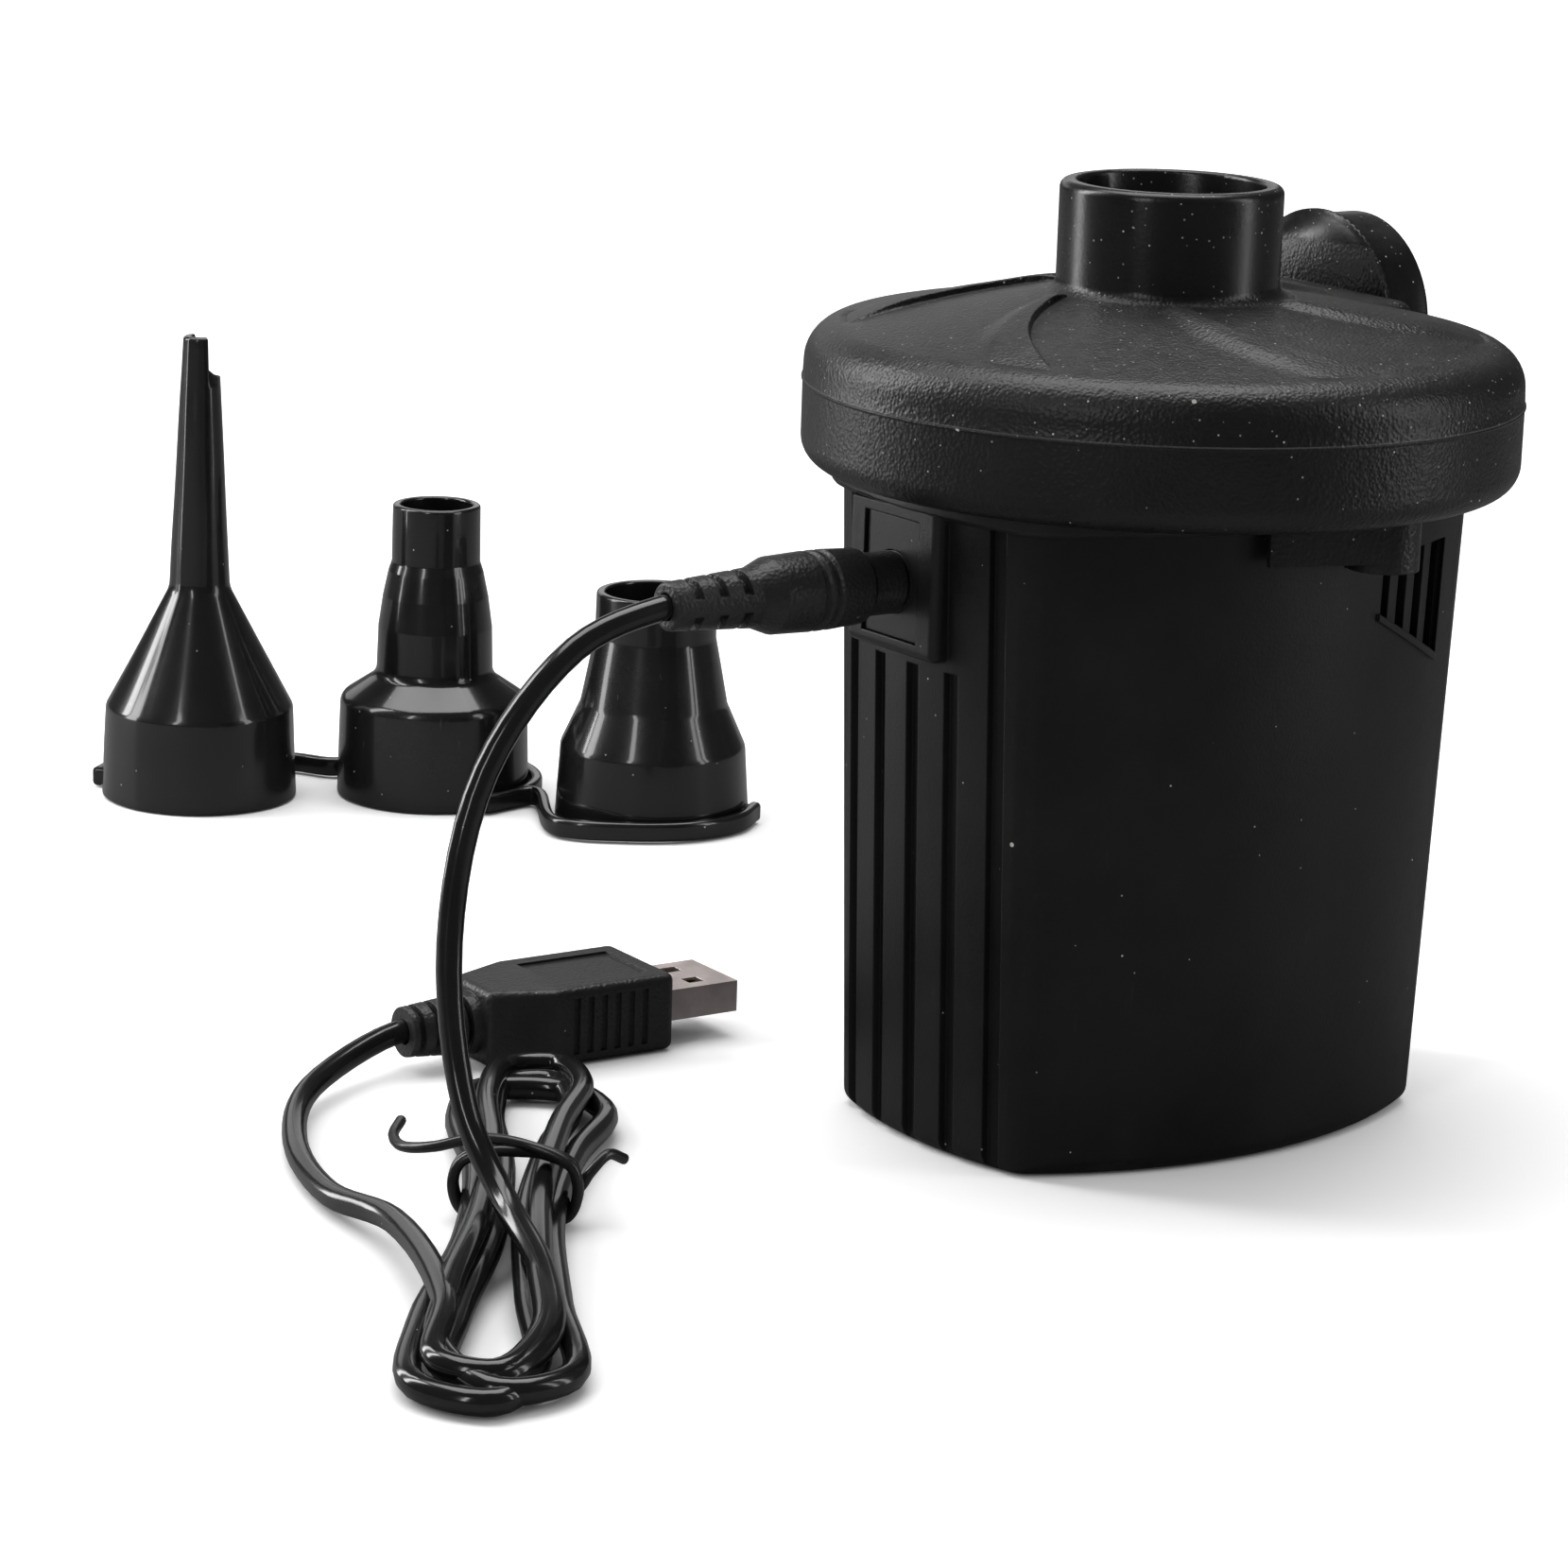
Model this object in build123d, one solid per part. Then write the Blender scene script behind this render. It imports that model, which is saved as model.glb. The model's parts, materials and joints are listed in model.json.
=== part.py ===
from build123d import *
import os
from math import sin, cos, tan, asin, acos, atan2, radians, degrees, hypot, sqrt

# Quick-fill electric pump with a USB lead and three tethered nozzles, in millimetres.
# +Z is up and z = 0 is the face the pump stands on. The Z axis is the axis of the fan,
# the motor and the central inlet spigot. -X is the side with the power socket, +X the
# side with the rocker switch, -Y the front. The lead, its USB plug and the nozzles lie
# on the same floor beside the pump.

os.makedirs("parts", exist_ok=True)

# ---------------------------------------------------------------------------
# driving dimensions
# ---------------------------------------------------------------------------
# round fan head
HEAD_R = 47.5
HEAD_WALL = 2.2
HEAD_IN_R = HEAD_R - HEAD_WALL
Z_HEAD_LOW = 87.3        # underside of the head
FLOOR_TOP = 89.5         # top of the fan housing's floor
Z_SEAM = 98.6            # split line between the two halves
Z_RIM_TOP = 106.2        # top of the rounded rim
RIM_IN = 42.4            # radius where the rim meets the conical lid
LID_Z_IN = 111.3         # height of the lid where it meets the inlet spigot
# spigots; the nozzles slip over them
SPIGOT_R = 14.7
SPIGOT_BORE_R = 12.36
Z_SPIGOT_TOP = 125.65    # mouth of the inlet spigot
OUT_Y, OUT_Z = 25.5, 101.2       # axis of the outlet spigot, along +X
OUT_X0, OUT_X1 = 48.4, 57.5
# outlet duct
DUCT_Y0, DUCT_Y1, DUCT_X = 4.5, 42.0, 49.4
# body: a rounded rectangle with four convex faces, widening upwards
BODY_A, BODY_B = 37.3, 28.6      # half width in X and half depth in Y at the base
SIDE_R, FRONT_R, CORNER_R = 60.0, 66.5, 4.0
BODY_GROW = 3.0          # offset gained by the draft between base and head
BODY_WALL = 2.2
BODY_FLOOR = 2.4
Z_FLANGE = 85.3          # underside of the flange below the head
FLANGE_OUT = 1.6
FLANGE_LIP = 0.6         # height of the flange's slanting lower edge
# flutes on the two side faces
FLUTE_Y = (-15.2, -7.6, 0.0, 7.6, 15.2)
FLUTE_W, FLUTE_D = 3.0, 0.95
FLUTE_SLANT = 0.45       # how far each flank leans in
FLUTE_OVER = 0.8         # how far the cutter stands out of the face
# frames, windows and insert plates of the socket side; the switch side is the same
# turned half a turn
FRAME_X, FRAME_IN_X = 41.6, 36.5
FRAME_Y0, FRAME_Y1 = -7.0, 12.3
FRAME_Z0 = 66.4
PANEL_Y0, PANEL_Y1 = -3.1, 8.6
PANEL_Z0, PANEL_Z1 = 68.3, 84.3
PANEL_X, PANEL_IN_X = 41.2, 39.0
PANEL_GAP = 0.15
JACK_Y, JACK_Z = 2.75, 75.6
SWITCH_Y, SWITCH_Z = -JACK_Y, 76.3
# motor, shaft end up
CAN_R, CAN_WALL = 13.85, 0.9
CAN_IN_R = CAN_R - CAN_WALL
Z_CAN_TOP = Z_HEAD_LOW
Z_CAN_REAR = 56.3
Z_END_CAP = 53.2
SHAFT_R = 1.15
BEARING_BORE_R = SHAFT_R + 0.03
TERMINAL_X = 10.0
# impeller
IMP_R = 30.5
IMP_Z0, IMP_Z1 = 91.7, 101.6
BLADES = 9
# lead
CABLE_R = 1.65
CABLE_GAP = 0.12         # radial gap between the lead and the two mouldings

# screws
SCREW_R = 1.25
CLOSE_HOLE_R = SCREW_R + 0.05
LOOSE_HOLE_R = SCREW_R + 0.15
MOTOR_HOLE_R = 1.45
COUNTERBORE_R = 2.6
HANG_BOSS = [(9.3, -34.6), (-9.3, 34.6)]
INNER_BOSS = [(-33.4, -9.2), (34.4, -8.2)]
HANG_R = 4.7
HANG_Z = 79.6            # lower end of the hanging bosses
HANG_SEAT = HANG_Z + 3.0         # height the heads bear against
INNER_SEAT = Z_HEAD_LOW + 2.6
# x, y, foot of the counterbore, seat of the head
COVER_SCREWS = ([(x, y, HANG_Z, HANG_SEAT) for x, y in HANG_BOSS]
                + [(x, y, Z_HEAD_LOW, INNER_SEAT) for x, y in INNER_BOSS])
BODY_SCREWS = [(31.0, 16.9), (-31.0, 16.9), (-31.0, -16.9), (31.0, -16.9)]
MOTOR_SCREWS = [(8.0, 0.0), (-8.0, 0.0)]

# The loose parts are set out on floor axes turned clockwise from X and Y by this angle:
# u runs right and forward, v runs back and right.
FLOOR_TURN = radians(40.0)
HALF_TURN = Rot(0, 0, 180)


# ---------------------------------------------------------------------------
# helpers
# ---------------------------------------------------------------------------
def place(u, v, z=0.0):
    """Point given on the turned floor axes."""
    return (u * cos(FLOOR_TURN) + v * sin(FLOOR_TURN),
            -u * sin(FLOOR_TURN) + v * cos(FLOOR_TURN), z)


def polar(radius, angle, z):
    return (radius * cos(angle), radius * sin(angle), z)


def cyl(radius, z0, z1, x=0.0, y=0.0):
    return Pos(x, y, (z0 + z1) / 2) * Cylinder(radius, z1 - z0)


def xcyl(radius, x0, x1, y, z):
    return Pos((x0 + x1) / 2, y, z) * Rot(0, 90, 0) * Cylinder(radius, x1 - x0)


def box(x0, x1, y0, y1, z0, z1):
    return Pos((x0 + x1) / 2, (y0 + y1) / 2, (z0 + z1) / 2) * Box(x1 - x0, y1 - y0, z1 - z0)


def round_corner(before, corner, after):
    """Start, middle and end of the arc at a corner; the middle is None if it is sharp."""
    point = corner[:2]
    radius = corner[2] if len(corner) > 2 else 0.0
    if radius <= 0:
        return point, None, point
    back = (before[0] - corner[0], before[1] - corner[1])
    ahead = (after[0] - corner[0], after[1] - corner[1])
    back_len, ahead_len = hypot(*back), hypot(*ahead)
    back = (back[0] / back_len, back[1] / back_len)
    ahead = (ahead[0] / ahead_len, ahead[1] / ahead_len)
    cos_angle = max(-1.0, min(1.0, back[0] * ahead[0] + back[1] * ahead[1]))
    half = 0.5 * acos(cos_angle)
    setback = radius / tan(half)
    start = (corner[0] + back[0] * setback, corner[1] + back[1] * setback)
    end = (corner[0] + ahead[0] * setback, corner[1] + ahead[1] * setback)
    inward = (back[0] + ahead[0], back[1] + ahead[1])
    inward_len = hypot(*inward)
    reach = radius / sin(half) - radius
    middle = (corner[0] + inward[0] / inward_len * reach,
              corner[1] + inward[1] / inward_len * reach)
    return start, middle, end


def profile(corners, to3d):
    """Face bounded by a closed outline of (a, b, optional corner radius) points."""
    count = len(corners)
    arcs = [round_corner(corners[i - 1], corners[i], corners[(i + 1) % count])
            for i in range(count)]
    edges = []
    for i, (start, middle, end) in enumerate(arcs):
        if middle is not None:
            edges.append(ThreePointArc(to3d(*start), to3d(*middle), to3d(*end)))
        following = arcs[(i + 1) % count][0]
        if hypot(following[0] - end[0], following[1] - end[1]) > 1e-6:
            edges.append(Line(to3d(*end), to3d(*following)))
    return Face(Wire(edges))


def turned(corners):
    """Solid of revolution about Z from (radius, z, corner radius) points."""
    return revolve(profile(corners, lambda r, z: Vector(r, 0, z)), Axis.Z, 360)


def turned_x(corners, y, z):
    """Solid of revolution about the line along X through (y, z), from (x, radius) points."""
    return Pos(0, y, z) * revolve(profile(corners, lambda x, r: Vector(x, 0, r)), Axis.X, 360)


def plate(corners, z0, z1):
    face = profile(corners, lambda x, y: Vector(x, y, z0))
    return extrude(face, z1 - z0, dir=(0, 0, 1))


def xz_plate(corners, y0, depth):
    """Outline in X and Z, extruded from y0 towards +Y."""
    return extrude(profile(corners, lambda x, z: Vector(x, y0, z)), depth, dir=(0, 1, 0))


def strip_between(first_points, second_points):
    """Flat face between two splines, closed by straight ends."""
    first, second = Spline(*first_points), Spline(*second_points)
    return Face(Wire([first, Line(first @ 1, second @ 1), second, Line(second @ 0, first @ 0)]))


def tube_along(points, radius, tangents=None):
    path = Spline(*points, tangents=tangents)
    disc = Plane(origin=path @ 0, z_dir=path % 0) * Circle(radius)
    return sweep(disc, path=path)


def fillet_or_leave(solid, edges, radius):
    # guards against a fillet the kernel cannot build; the edges then stay sharp
    try:
        return fillet(edges, radius)
    except Exception:
        return solid


def largest_solid(part):
    """The part itself, or its largest solid if loose scraps came off it."""
    if len(part.solids()) > 1:
        return Part() + sorted(part.solids(), key=lambda s: -s.volume)[0]
    return part


# ---------------------------------------------------------------------------
# body section
# ---------------------------------------------------------------------------
SIDE_CX = BODY_A - SIDE_R        # centre of the +X face's arc, on the X axis
FRONT_CY = BODY_B - FRONT_R      # centre of the +Y face's arc, on the Y axis


def corner_centre():
    """Centre of the +X +Y corner arc, which touches both face arcs from inside."""
    side_reach, front_reach = SIDE_R - CORNER_R, FRONT_R - CORNER_R
    apart = hypot(SIDE_CX, FRONT_CY)
    along = (side_reach ** 2 - front_reach ** 2 + apart ** 2) / (2 * apart)
    across = sqrt(side_reach ** 2 - along ** 2)
    dir_x, dir_y = -SIDE_CX / apart, FRONT_CY / apart
    meets = [(SIDE_CX + along * dir_x - s * across * dir_y, along * dir_y + s * across * dir_x)
             for s in (1, -1)]
    return max(meets, key=sum)


CORNER_CX, CORNER_CY = corner_centre()
SIDE_END = atan2(CORNER_CY, CORNER_CX - SIDE_CX)     # angle where the side arc ends
FRONT_END = atan2(CORNER_CY - FRONT_CY, CORNER_CX)   # angle where the +Y arc ends


def body_section(offset, z):
    side_r, front_r, corner_r = SIDE_R + offset, FRONT_R + offset, CORNER_R + offset
    x1, y1 = SIDE_CX + side_r * cos(SIDE_END), side_r * sin(SIDE_END)
    x2, y2 = front_r * cos(FRONT_END), FRONT_CY + front_r * sin(FRONT_END)
    middle = (SIDE_END + FRONT_END) / 2
    xm, ym = CORNER_CX + corner_r * cos(middle), CORNER_CY + corner_r * sin(middle)
    # ends and middles of the arcs in turn; the second half mirrors the first
    half = [(x1, -y1), (BODY_A + offset, 0), (x1, y1), (xm, ym),
            (x2, y2), (0, BODY_B + offset), (-x2, y2), (-xm, ym)]
    ring = [(x, y, z) for x, y in half] + [(-x, -y, z) for x, y in half]
    return Face(Wire([ThreePointArc(ring[i], ring[i + 1], ring[(i + 2) % 16])
                      for i in range(0, 16, 2)]))


def grow(z):
    """Offset that the draft adds to the body section at height z."""
    return BODY_GROW * z / Z_HEAD_LOW


def body_prism(offset, z0, z1):
    """Drafted solid parallel to the body's faces, offset outwards."""
    return loft([body_section(offset + grow(z0), z0), body_section(offset + grow(z1), z1)],
                ruled=True)


# ---------------------------------------------------------------------------
# body shell
# ---------------------------------------------------------------------------
POST_R = 4.9             # corner posts
POST_Z0 = 62.0
POST_HOLE_Z0 = 70.0
FLUTE_TOP_UNDER_FRAME = 65.2
VENT_SLOT_HALF = 1.05
VENT_TOP = 79.8
VENT_SLOTS = [(15.4, 71.0), (19.4, 69.0), (23.4, 67.0), (27.4, 65.0)]    # x, lower end z
VENT_RECESS = [(13.9, 71.9), (29.0, 64.3), (29.0, 80.3), (13.9, 80.3)]   # x, z
VENT_SILL = [(13.4, 72.3), (13.4, 71.3), (29.3, 63.2), (29.3, 64.3)]     # x, z


def body_block():
    """Solid outside of the body with its flange."""
    outer = body_prism(0.0, 0.0, Z_HEAD_LOW)
    bottom_edges = outer.edges().group_by(Axis.Z)[0]
    # guards the fillet round the drafted base; a chamfer takes its place if it fails
    try:
        outer = fillet(bottom_edges, 2.2)
    except Exception:
        outer = chamfer(bottom_edges, 1.6)
    offset = grow(Z_FLANGE) + FLANGE_OUT
    z_lip = Z_FLANGE + FLANGE_LIP
    flange = loft([body_section(offset - 0.5, Z_FLANGE), body_section(offset, z_lip)],
                  ruled=True)
    flange += extrude(body_section(offset, z_lip), Z_HEAD_LOW - z_lip, dir=(0, 0, 1))
    return outer + flange


def panel_frame():
    frame = plate([(-FRAME_X, FRAME_Y0, 1.3), (-FRAME_X, FRAME_Y1, 1.3),
                   (-FRAME_IN_X, FRAME_Y1), (-FRAME_IN_X, FRAME_Y0)], FRAME_Z0, Z_FLANGE + 0.3)
    low_edge = frame.edges().filter_by(Axis.Y).group_by(Axis.Z)[0].sort_by(Axis.X)[0]
    return fillet_or_leave(frame, low_edge, 1.2)


def flute(side, y, z0, z1):
    """Cutter for one flute on the +X (side 1) or -X (side -1) face."""
    half = FLUTE_W / 2
    corners = ((y - half, FLUTE_OVER), (y + half, FLUTE_OVER),
               (y + half - FLUTE_SLANT, -FLUTE_D), (y - half + FLUTE_SLANT, -FLUTE_D))

    def cross_section(z):
        face_r = SIDE_R + grow(z)
        points = []
        for corner_y, out in corners:
            angle = asin(corner_y / face_r)
            points.append((side * (SIDE_CX + (face_r + out) * cos(angle)),
                           (face_r + out) * sin(angle), z))
        return Face(Wire([Line(points[i], points[(i + 1) % 4]) for i in range(4)]))

    return loft([cross_section(z0), cross_section(z1)], ruled=True)


def vent_cutter():
    """Shallow recess with a slanting foot and four slots through the front wall."""
    front_r = FRONT_R + grow(74.0)
    front_y = FRONT_CY + sqrt(front_r * front_r - 21.0 ** 2)
    cutter = xz_plate(VENT_RECESS, -front_y - 6, 14.0)
    cutter = cutter - body_prism(-0.8, 55.0, Z_HEAD_LOW)
    for x, z_low in VENT_SLOTS:
        cutter = cutter + box(x - VENT_SLOT_HALF, x + VENT_SLOT_HALF, -36.0, -18.0,
                              z_low, VENT_TOP)
    return cutter


def vent_sill():
    sill = xz_plate(VENT_SILL, -40.0, 15.0)
    return (sill & body_prism(0.45, 55.0, Z_FLANGE)) - body_prism(-1.0, 54.0, Z_HEAD_LOW)


def body_shell():
    body = body_block()
    frame = panel_frame()
    body = body + frame + HALF_TURN * frame
    for side in (1, -1):
        for y in FLUTE_Y:
            under_frame = FRAME_Y0 - 1.0 < y < FRAME_Y1 + 1.0
            top = FLUTE_TOP_UNDER_FRAME if under_frame else Z_FLANGE
            body = body - flute(side, -side * y, -1.0, top)
    body = body - body_prism(-BODY_WALL, BODY_FLOOR, Z_HEAD_LOW + 1.0)
    # corner posts for the screws that come down from the fan housing
    for x, y in BODY_SCREWS:
        post = cyl(POST_R, POST_Z0, Z_HEAD_LOW, x, y) & body_prism(-0.4, 50.0, Z_HEAD_LOW)
        body = body + post
    for x, y in BODY_SCREWS:
        body = body - cyl(CLOSE_HOLE_R, POST_HOLE_Z0, Z_HEAD_LOW + 1, x, y)
    window = box(-45, -34, PANEL_Y0, PANEL_Y1, PANEL_Z0, PANEL_Z1)
    body = body - window - HALF_TURN * window
    vent = vent_cutter()
    body = body - vent - HALF_TURN * vent
    sill = vent_sill()
    body = body + sill + HALF_TURN * sill
    # hollows in the wall for the hanging screw bosses of the fan housing
    for angle in (0, 180):
        hollow = Rot(0, 0, angle) * cyl(HANG_R + 0.2, HANG_Z - 0.3, Z_HEAD_LOW + 1,
                                        *HANG_BOSS[0])
        body = body - (hollow - body_prism(-1.0, 55.0, Z_HEAD_LOW + 1))
    return body


# ---------------------------------------------------------------------------
# volute base: lower half of the fan head
# ---------------------------------------------------------------------------
TONGUE = [(37.0, 1.5, 0.6), (46.0, 1.5), (46.0, 7.0), (38.2, 4.2, 0.6)]     # x, y, radius


def duct_block(z0, z1, inset):
    x1, y0, y1 = DUCT_X - inset, DUCT_Y0 + inset, DUCT_Y1 - inset
    return plate([(14.0, y0), (x1, y0, 3.0), (x1, y1, 3.0), (14.0, y1)], z0, z1)


def rounded_duct(z0, z1, z_round, radius):
    """Outside of the duct, rounded along its outer edges at the height z_round."""
    duct = duct_block(z0, z1, 0.0)
    edges = [e for e in duct.edges() if abs(e.center().Z - z_round) < 1e-3 and e.center().X > 20]
    return fillet_or_leave(duct, edges, radius)


def hanging_boss():
    """Front boss below the head, with a web that runs back to the body wall."""
    x, y = HANG_BOSS[0]
    z_top = Z_HEAD_LOW + 0.5
    web = plate([(-8.6, -32.6), (-8.6, -33.2), (x - 0.6, y - 4.65), (x + 0.3, y)],
                HANG_Z + 1.4, z_top)
    boss = cyl(HANG_R, HANG_Z, z_top, x, y) + web
    # clear of the body's face and flange
    boss = boss - body_prism(0.15, 70.0, Z_FLANGE)
    boss = boss - extrude(body_section(grow(Z_FLANGE) + FLANGE_OUT + 0.12, Z_FLANGE - 0.1),
                          Z_HEAD_LOW - Z_FLANGE + 0.1, dir=(0, 0, 1))
    # the round part itself reaches into the hollow in the body wall
    keep = cyl(HANG_R, HANG_Z, z_top, x, y) - body_prism(-0.9, 70.0, Z_HEAD_LOW + 1)
    return boss + keep


def volute_base():
    base = turned([
        (0.0, Z_HEAD_LOW), (HEAD_R, Z_HEAD_LOW, 3.6), (HEAD_R, Z_SEAM - 0.35),
        (HEAD_R + 0.18, Z_SEAM - 0.12), (HEAD_R + 0.18, Z_SEAM), (HEAD_IN_R, Z_SEAM),
        (HEAD_IN_R, FLOOR_TOP, 2.0), (0.0, FLOOR_TOP)])
    base = base + rounded_duct(Z_HEAD_LOW, Z_SEAM, Z_HEAD_LOW, 2.4)
    base = base - duct_block(FLOOR_TOP, Z_SEAM + 1, HEAD_WALL)
    # the chamber stays round: trim what the duct block brought inside it
    base = base - cyl(HEAD_IN_R, FLOOR_TOP + 2.0, Z_SEAM + 1)
    # cut-off tongue of the scroll, beside the outlet
    tongue = plate(TONGUE, FLOOR_TOP - 0.2, Z_SEAM)
    base = base + (tongue & cyl(HEAD_R - 1.0, FLOOR_TOP - 0.3, Z_SEAM))
    # saddle for the outlet spigot, which belongs to the cover
    base = base - xcyl(SPIGOT_R + 0.75, OUT_X0 - 2.0, 70.0, OUT_Y, OUT_Z)
    base = base - xcyl(SPIGOT_BORE_R, 30.0, 70.0, OUT_Y, OUT_Z)
    boss = hanging_boss()
    for angle in (0, 180):
        base = base + Rot(0, 0, angle) * boss
    for spots, post_r in ((HANG_BOSS, 3.4), (INNER_BOSS, 3.2)):
        for x, y in spots:
            base = base + cyl(post_r, FLOOR_TOP - 0.5, Z_SEAM - 0.1, x, y)
    for x, y, foot, seat in COVER_SCREWS:
        base = (base - cyl(LOOSE_HOLE_R, foot - 1, Z_SEAM + 1, x, y)
                - cyl(COUNTERBORE_R, foot - 1, seat, x, y))
    for x, y in BODY_SCREWS:
        base = base - cyl(LOOSE_HOLE_R, Z_HEAD_LOW - 1, FLOOR_TOP + 1, x, y)
    for x, y in MOTOR_SCREWS:
        base = base - cyl(MOTOR_HOLE_R, Z_HEAD_LOW - 1, FLOOR_TOP + 1, x, y)
    # hole for the motor's neck
    return base - cyl(3.2, Z_HEAD_LOW - 1, FLOOR_TOP + 1)


# ---------------------------------------------------------------------------
# top cover: upper half of the head, inlet spigot, outlet spigot
# ---------------------------------------------------------------------------
RIM_SHOULDER = [(HEAD_IN_R, Z_RIM_TOP - 5.2), (RIM_IN - 0.6, Z_RIM_TOP - 2.6, 3.0)]
ARM_R0, ARM_R1 = 17.5, 41.6      # the relief arms stop short of the rounded rim
ARM_STATIONS = 9
ARM_COUNT = 6
GUARD_Z0, GUARD_Z1 = 109.7, 112.1


def cover_blank():
    """Lid, rounded rim and inlet spigot in one turned shell."""
    return turned([
        (HEAD_IN_R, Z_SEAM), (HEAD_R + 0.1, Z_SEAM), (HEAD_R + 0.1, Z_SEAM + 0.15),
        (HEAD_R, Z_SEAM + 0.4), (HEAD_R - 0.25, Z_RIM_TOP - 0.9, 5.4),
        (SPIGOT_R, LID_Z_IN + 0.2, 1.7), (SPIGOT_R, Z_SPIGOT_TOP, 1.15),
        (SPIGOT_BORE_R, Z_SPIGOT_TOP, 0.5), (SPIGOT_BORE_R, LID_Z_IN - 2.2, 0.8),
        RIM_SHOULDER[1], RIM_SHOULDER[0]])


def add_outlet(cover):
    cover = cover + rounded_duct(Z_SEAM, Z_RIM_TOP, Z_RIM_TOP, 1.8)
    cover = cover - duct_block(Z_SEAM - 1, Z_RIM_TOP - HEAD_WALL, HEAD_WALL)
    cavity = turned([(0, Z_SEAM - 1), (HEAD_IN_R, Z_SEAM - 1), *RIM_SHOULDER,
                     (0, LID_Z_IN - 1.2)])
    cover = cover - cavity
    tube = xcyl(SPIGOT_R, OUT_X0, OUT_X1, OUT_Y, OUT_Z)
    mouth_edge = tube.edges().filter_by(GeomType.CIRCLE).sort_by(Axis.X)[-1]
    cover = cover + fillet(mouth_edge, 1.0)
    # small root cone where the spigot leaves the duct
    cover = cover + turned_x([
        (OUT_X0 + 0.3, SPIGOT_R - 0.8), (OUT_X0 + 0.3, SPIGOT_R + 0.7),
        (DUCT_X + 0.02, SPIGOT_R + 0.7), (DUCT_X + 0.65, SPIGOT_R),
        (DUCT_X + 0.65, SPIGOT_R - 0.8)], OUT_Y, OUT_Z)
    cover = cover - xcyl(SPIGOT_BORE_R, OUT_X0 + 2.0, OUT_X1 + 1, OUT_Y, OUT_Z)
    throat = (xcyl(SPIGOT_BORE_R, 30.0, OUT_X0 + 2.5, OUT_Y, OUT_Z)
              & box(28.0, 60.0, 0.0, 60.0, 80.0, Z_RIM_TOP - HEAD_WALL))
    return cover - throat


def relief_arm(start):
    """Tall prism over one swept arm; start is its leading angle in degrees."""
    lead, trail = [], []
    for i in range(ARM_STATIONS):
        r = ARM_R0 + (ARM_R1 - ARM_R0) * i / (ARM_STATIONS - 1)
        angle = radians(start + 35.0 * (r - 16.0) / 26.0)
        width = radians(3.0 + 7.5 * (r - ARM_R0) / 28.1)
        lead.append(polar(r, angle, 100.0))
        trail.append(polar(r, angle - width, 100.0))
    return extrude(strip_between(lead, trail), 16.0, dir=(0, 0, 1))


def relief_layer():
    """Thin layer over the lid that the arms are cut from."""
    lift = 0.75
    above = turned([
        (SPIGOT_R - 0.3, 100.0), (46.2, 100.0), (46.2, Z_RIM_TOP - 1.6 + lift * 0.6, 2.0),
        (RIM_IN, Z_RIM_TOP + lift * 0.9), (SPIGOT_R - 0.3, LID_Z_IN + 0.1 + lift)])
    return above - turned([
        (0, 99.0), (HEAD_R - 1.2, 99.0), (HEAD_R - 1.2, Z_RIM_TOP - 4.0),
        (RIM_IN, Z_RIM_TOP - 1.0), (0, LID_Z_IN + 1.6)])


def top_cover():
    cover = add_outlet(cover_blank())
    # finger guard: three bars and a hub across the bottom of the inlet
    bar_half = SPIGOT_BORE_R + 1.0
    for k in range(3):
        cover = cover + Rot(0, 0, 60 * k + 15) * box(-bar_half, bar_half, -0.8, 0.8,
                                                     GUARD_Z0, GUARD_Z1)
    cover = cover + cyl(2.6, GUARD_Z0, GUARD_Z1 + 0.3)
    # pinwheel relief between the spigot and the rim, left out over the duct
    layer = relief_layer()
    for k in range(ARM_COUNT):
        piece = relief_arm(-64.0 + 60.0 * k) & layer
        piece = piece - box(20.0, 60.0, DUCT_Y0 - 1.0, DUCT_Y1 + 4.0, 90.0, 120.0)
        if piece and piece.solids():
            cover = cover + piece
    # screw posts, kept below the lid's outer face
    for x, y, _, _ in COVER_SCREWS:
        under_lid = turned([(0, 90), (HEAD_R - 1.0, 90), (HEAD_R - 1.0, Z_RIM_TOP - 4.6),
                            (RIM_IN, Z_RIM_TOP - 0.8), (0, LID_Z_IN + 1.6)])
        cover = cover + (cyl(3.2, Z_SEAM, 108.0, x, y) & under_lid)
    for x, y, _, _ in COVER_SCREWS:
        cover = cover - cyl(CLOSE_HOLE_R, Z_SEAM - 1, 104.6, x, y)
    return largest_solid(cover)


# ---------------------------------------------------------------------------
# impeller
# ---------------------------------------------------------------------------
BLADE_R0 = 10.5
BLADE_SWEEP = radians(52.0)
BLADE_T = 1.3


def impeller():
    wheel = turned([
        (SHAFT_R, IMP_Z0 - 0.7), (4.2, IMP_Z0 - 0.7), (5.2, IMP_Z0), (IMP_R, IMP_Z0),
        (IMP_R, IMP_Z0 + 1.3), (8.0, IMP_Z0 + 1.5), (4.4, IMP_Z0 + 8.0),
        (3.6, IMP_Z0 + 9.4, 0.6), (SHAFT_R, IMP_Z0 + 9.4)])
    z_root = IMP_Z0 + 0.6
    for k in range(BLADES):
        one_side, other_side = [], []
        for i in range(7):
            r = BLADE_R0 + (IMP_R - 0.4 - BLADE_R0) * i / 6
            sweep_part = ((r - BLADE_R0) / (IMP_R - BLADE_R0)) ** 1.1
            angle = radians(360.0 / BLADES * k) - BLADE_SWEEP * sweep_part
            one_side.append(polar(r, angle, z_root))
            other_side.append(polar(r, angle + BLADE_T / r, z_root))
        blade = extrude(strip_between(one_side, other_side), IMP_Z1 - z_root, dir=(0, 0, 1))
        wheel = wheel + blade
    return wheel


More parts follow.
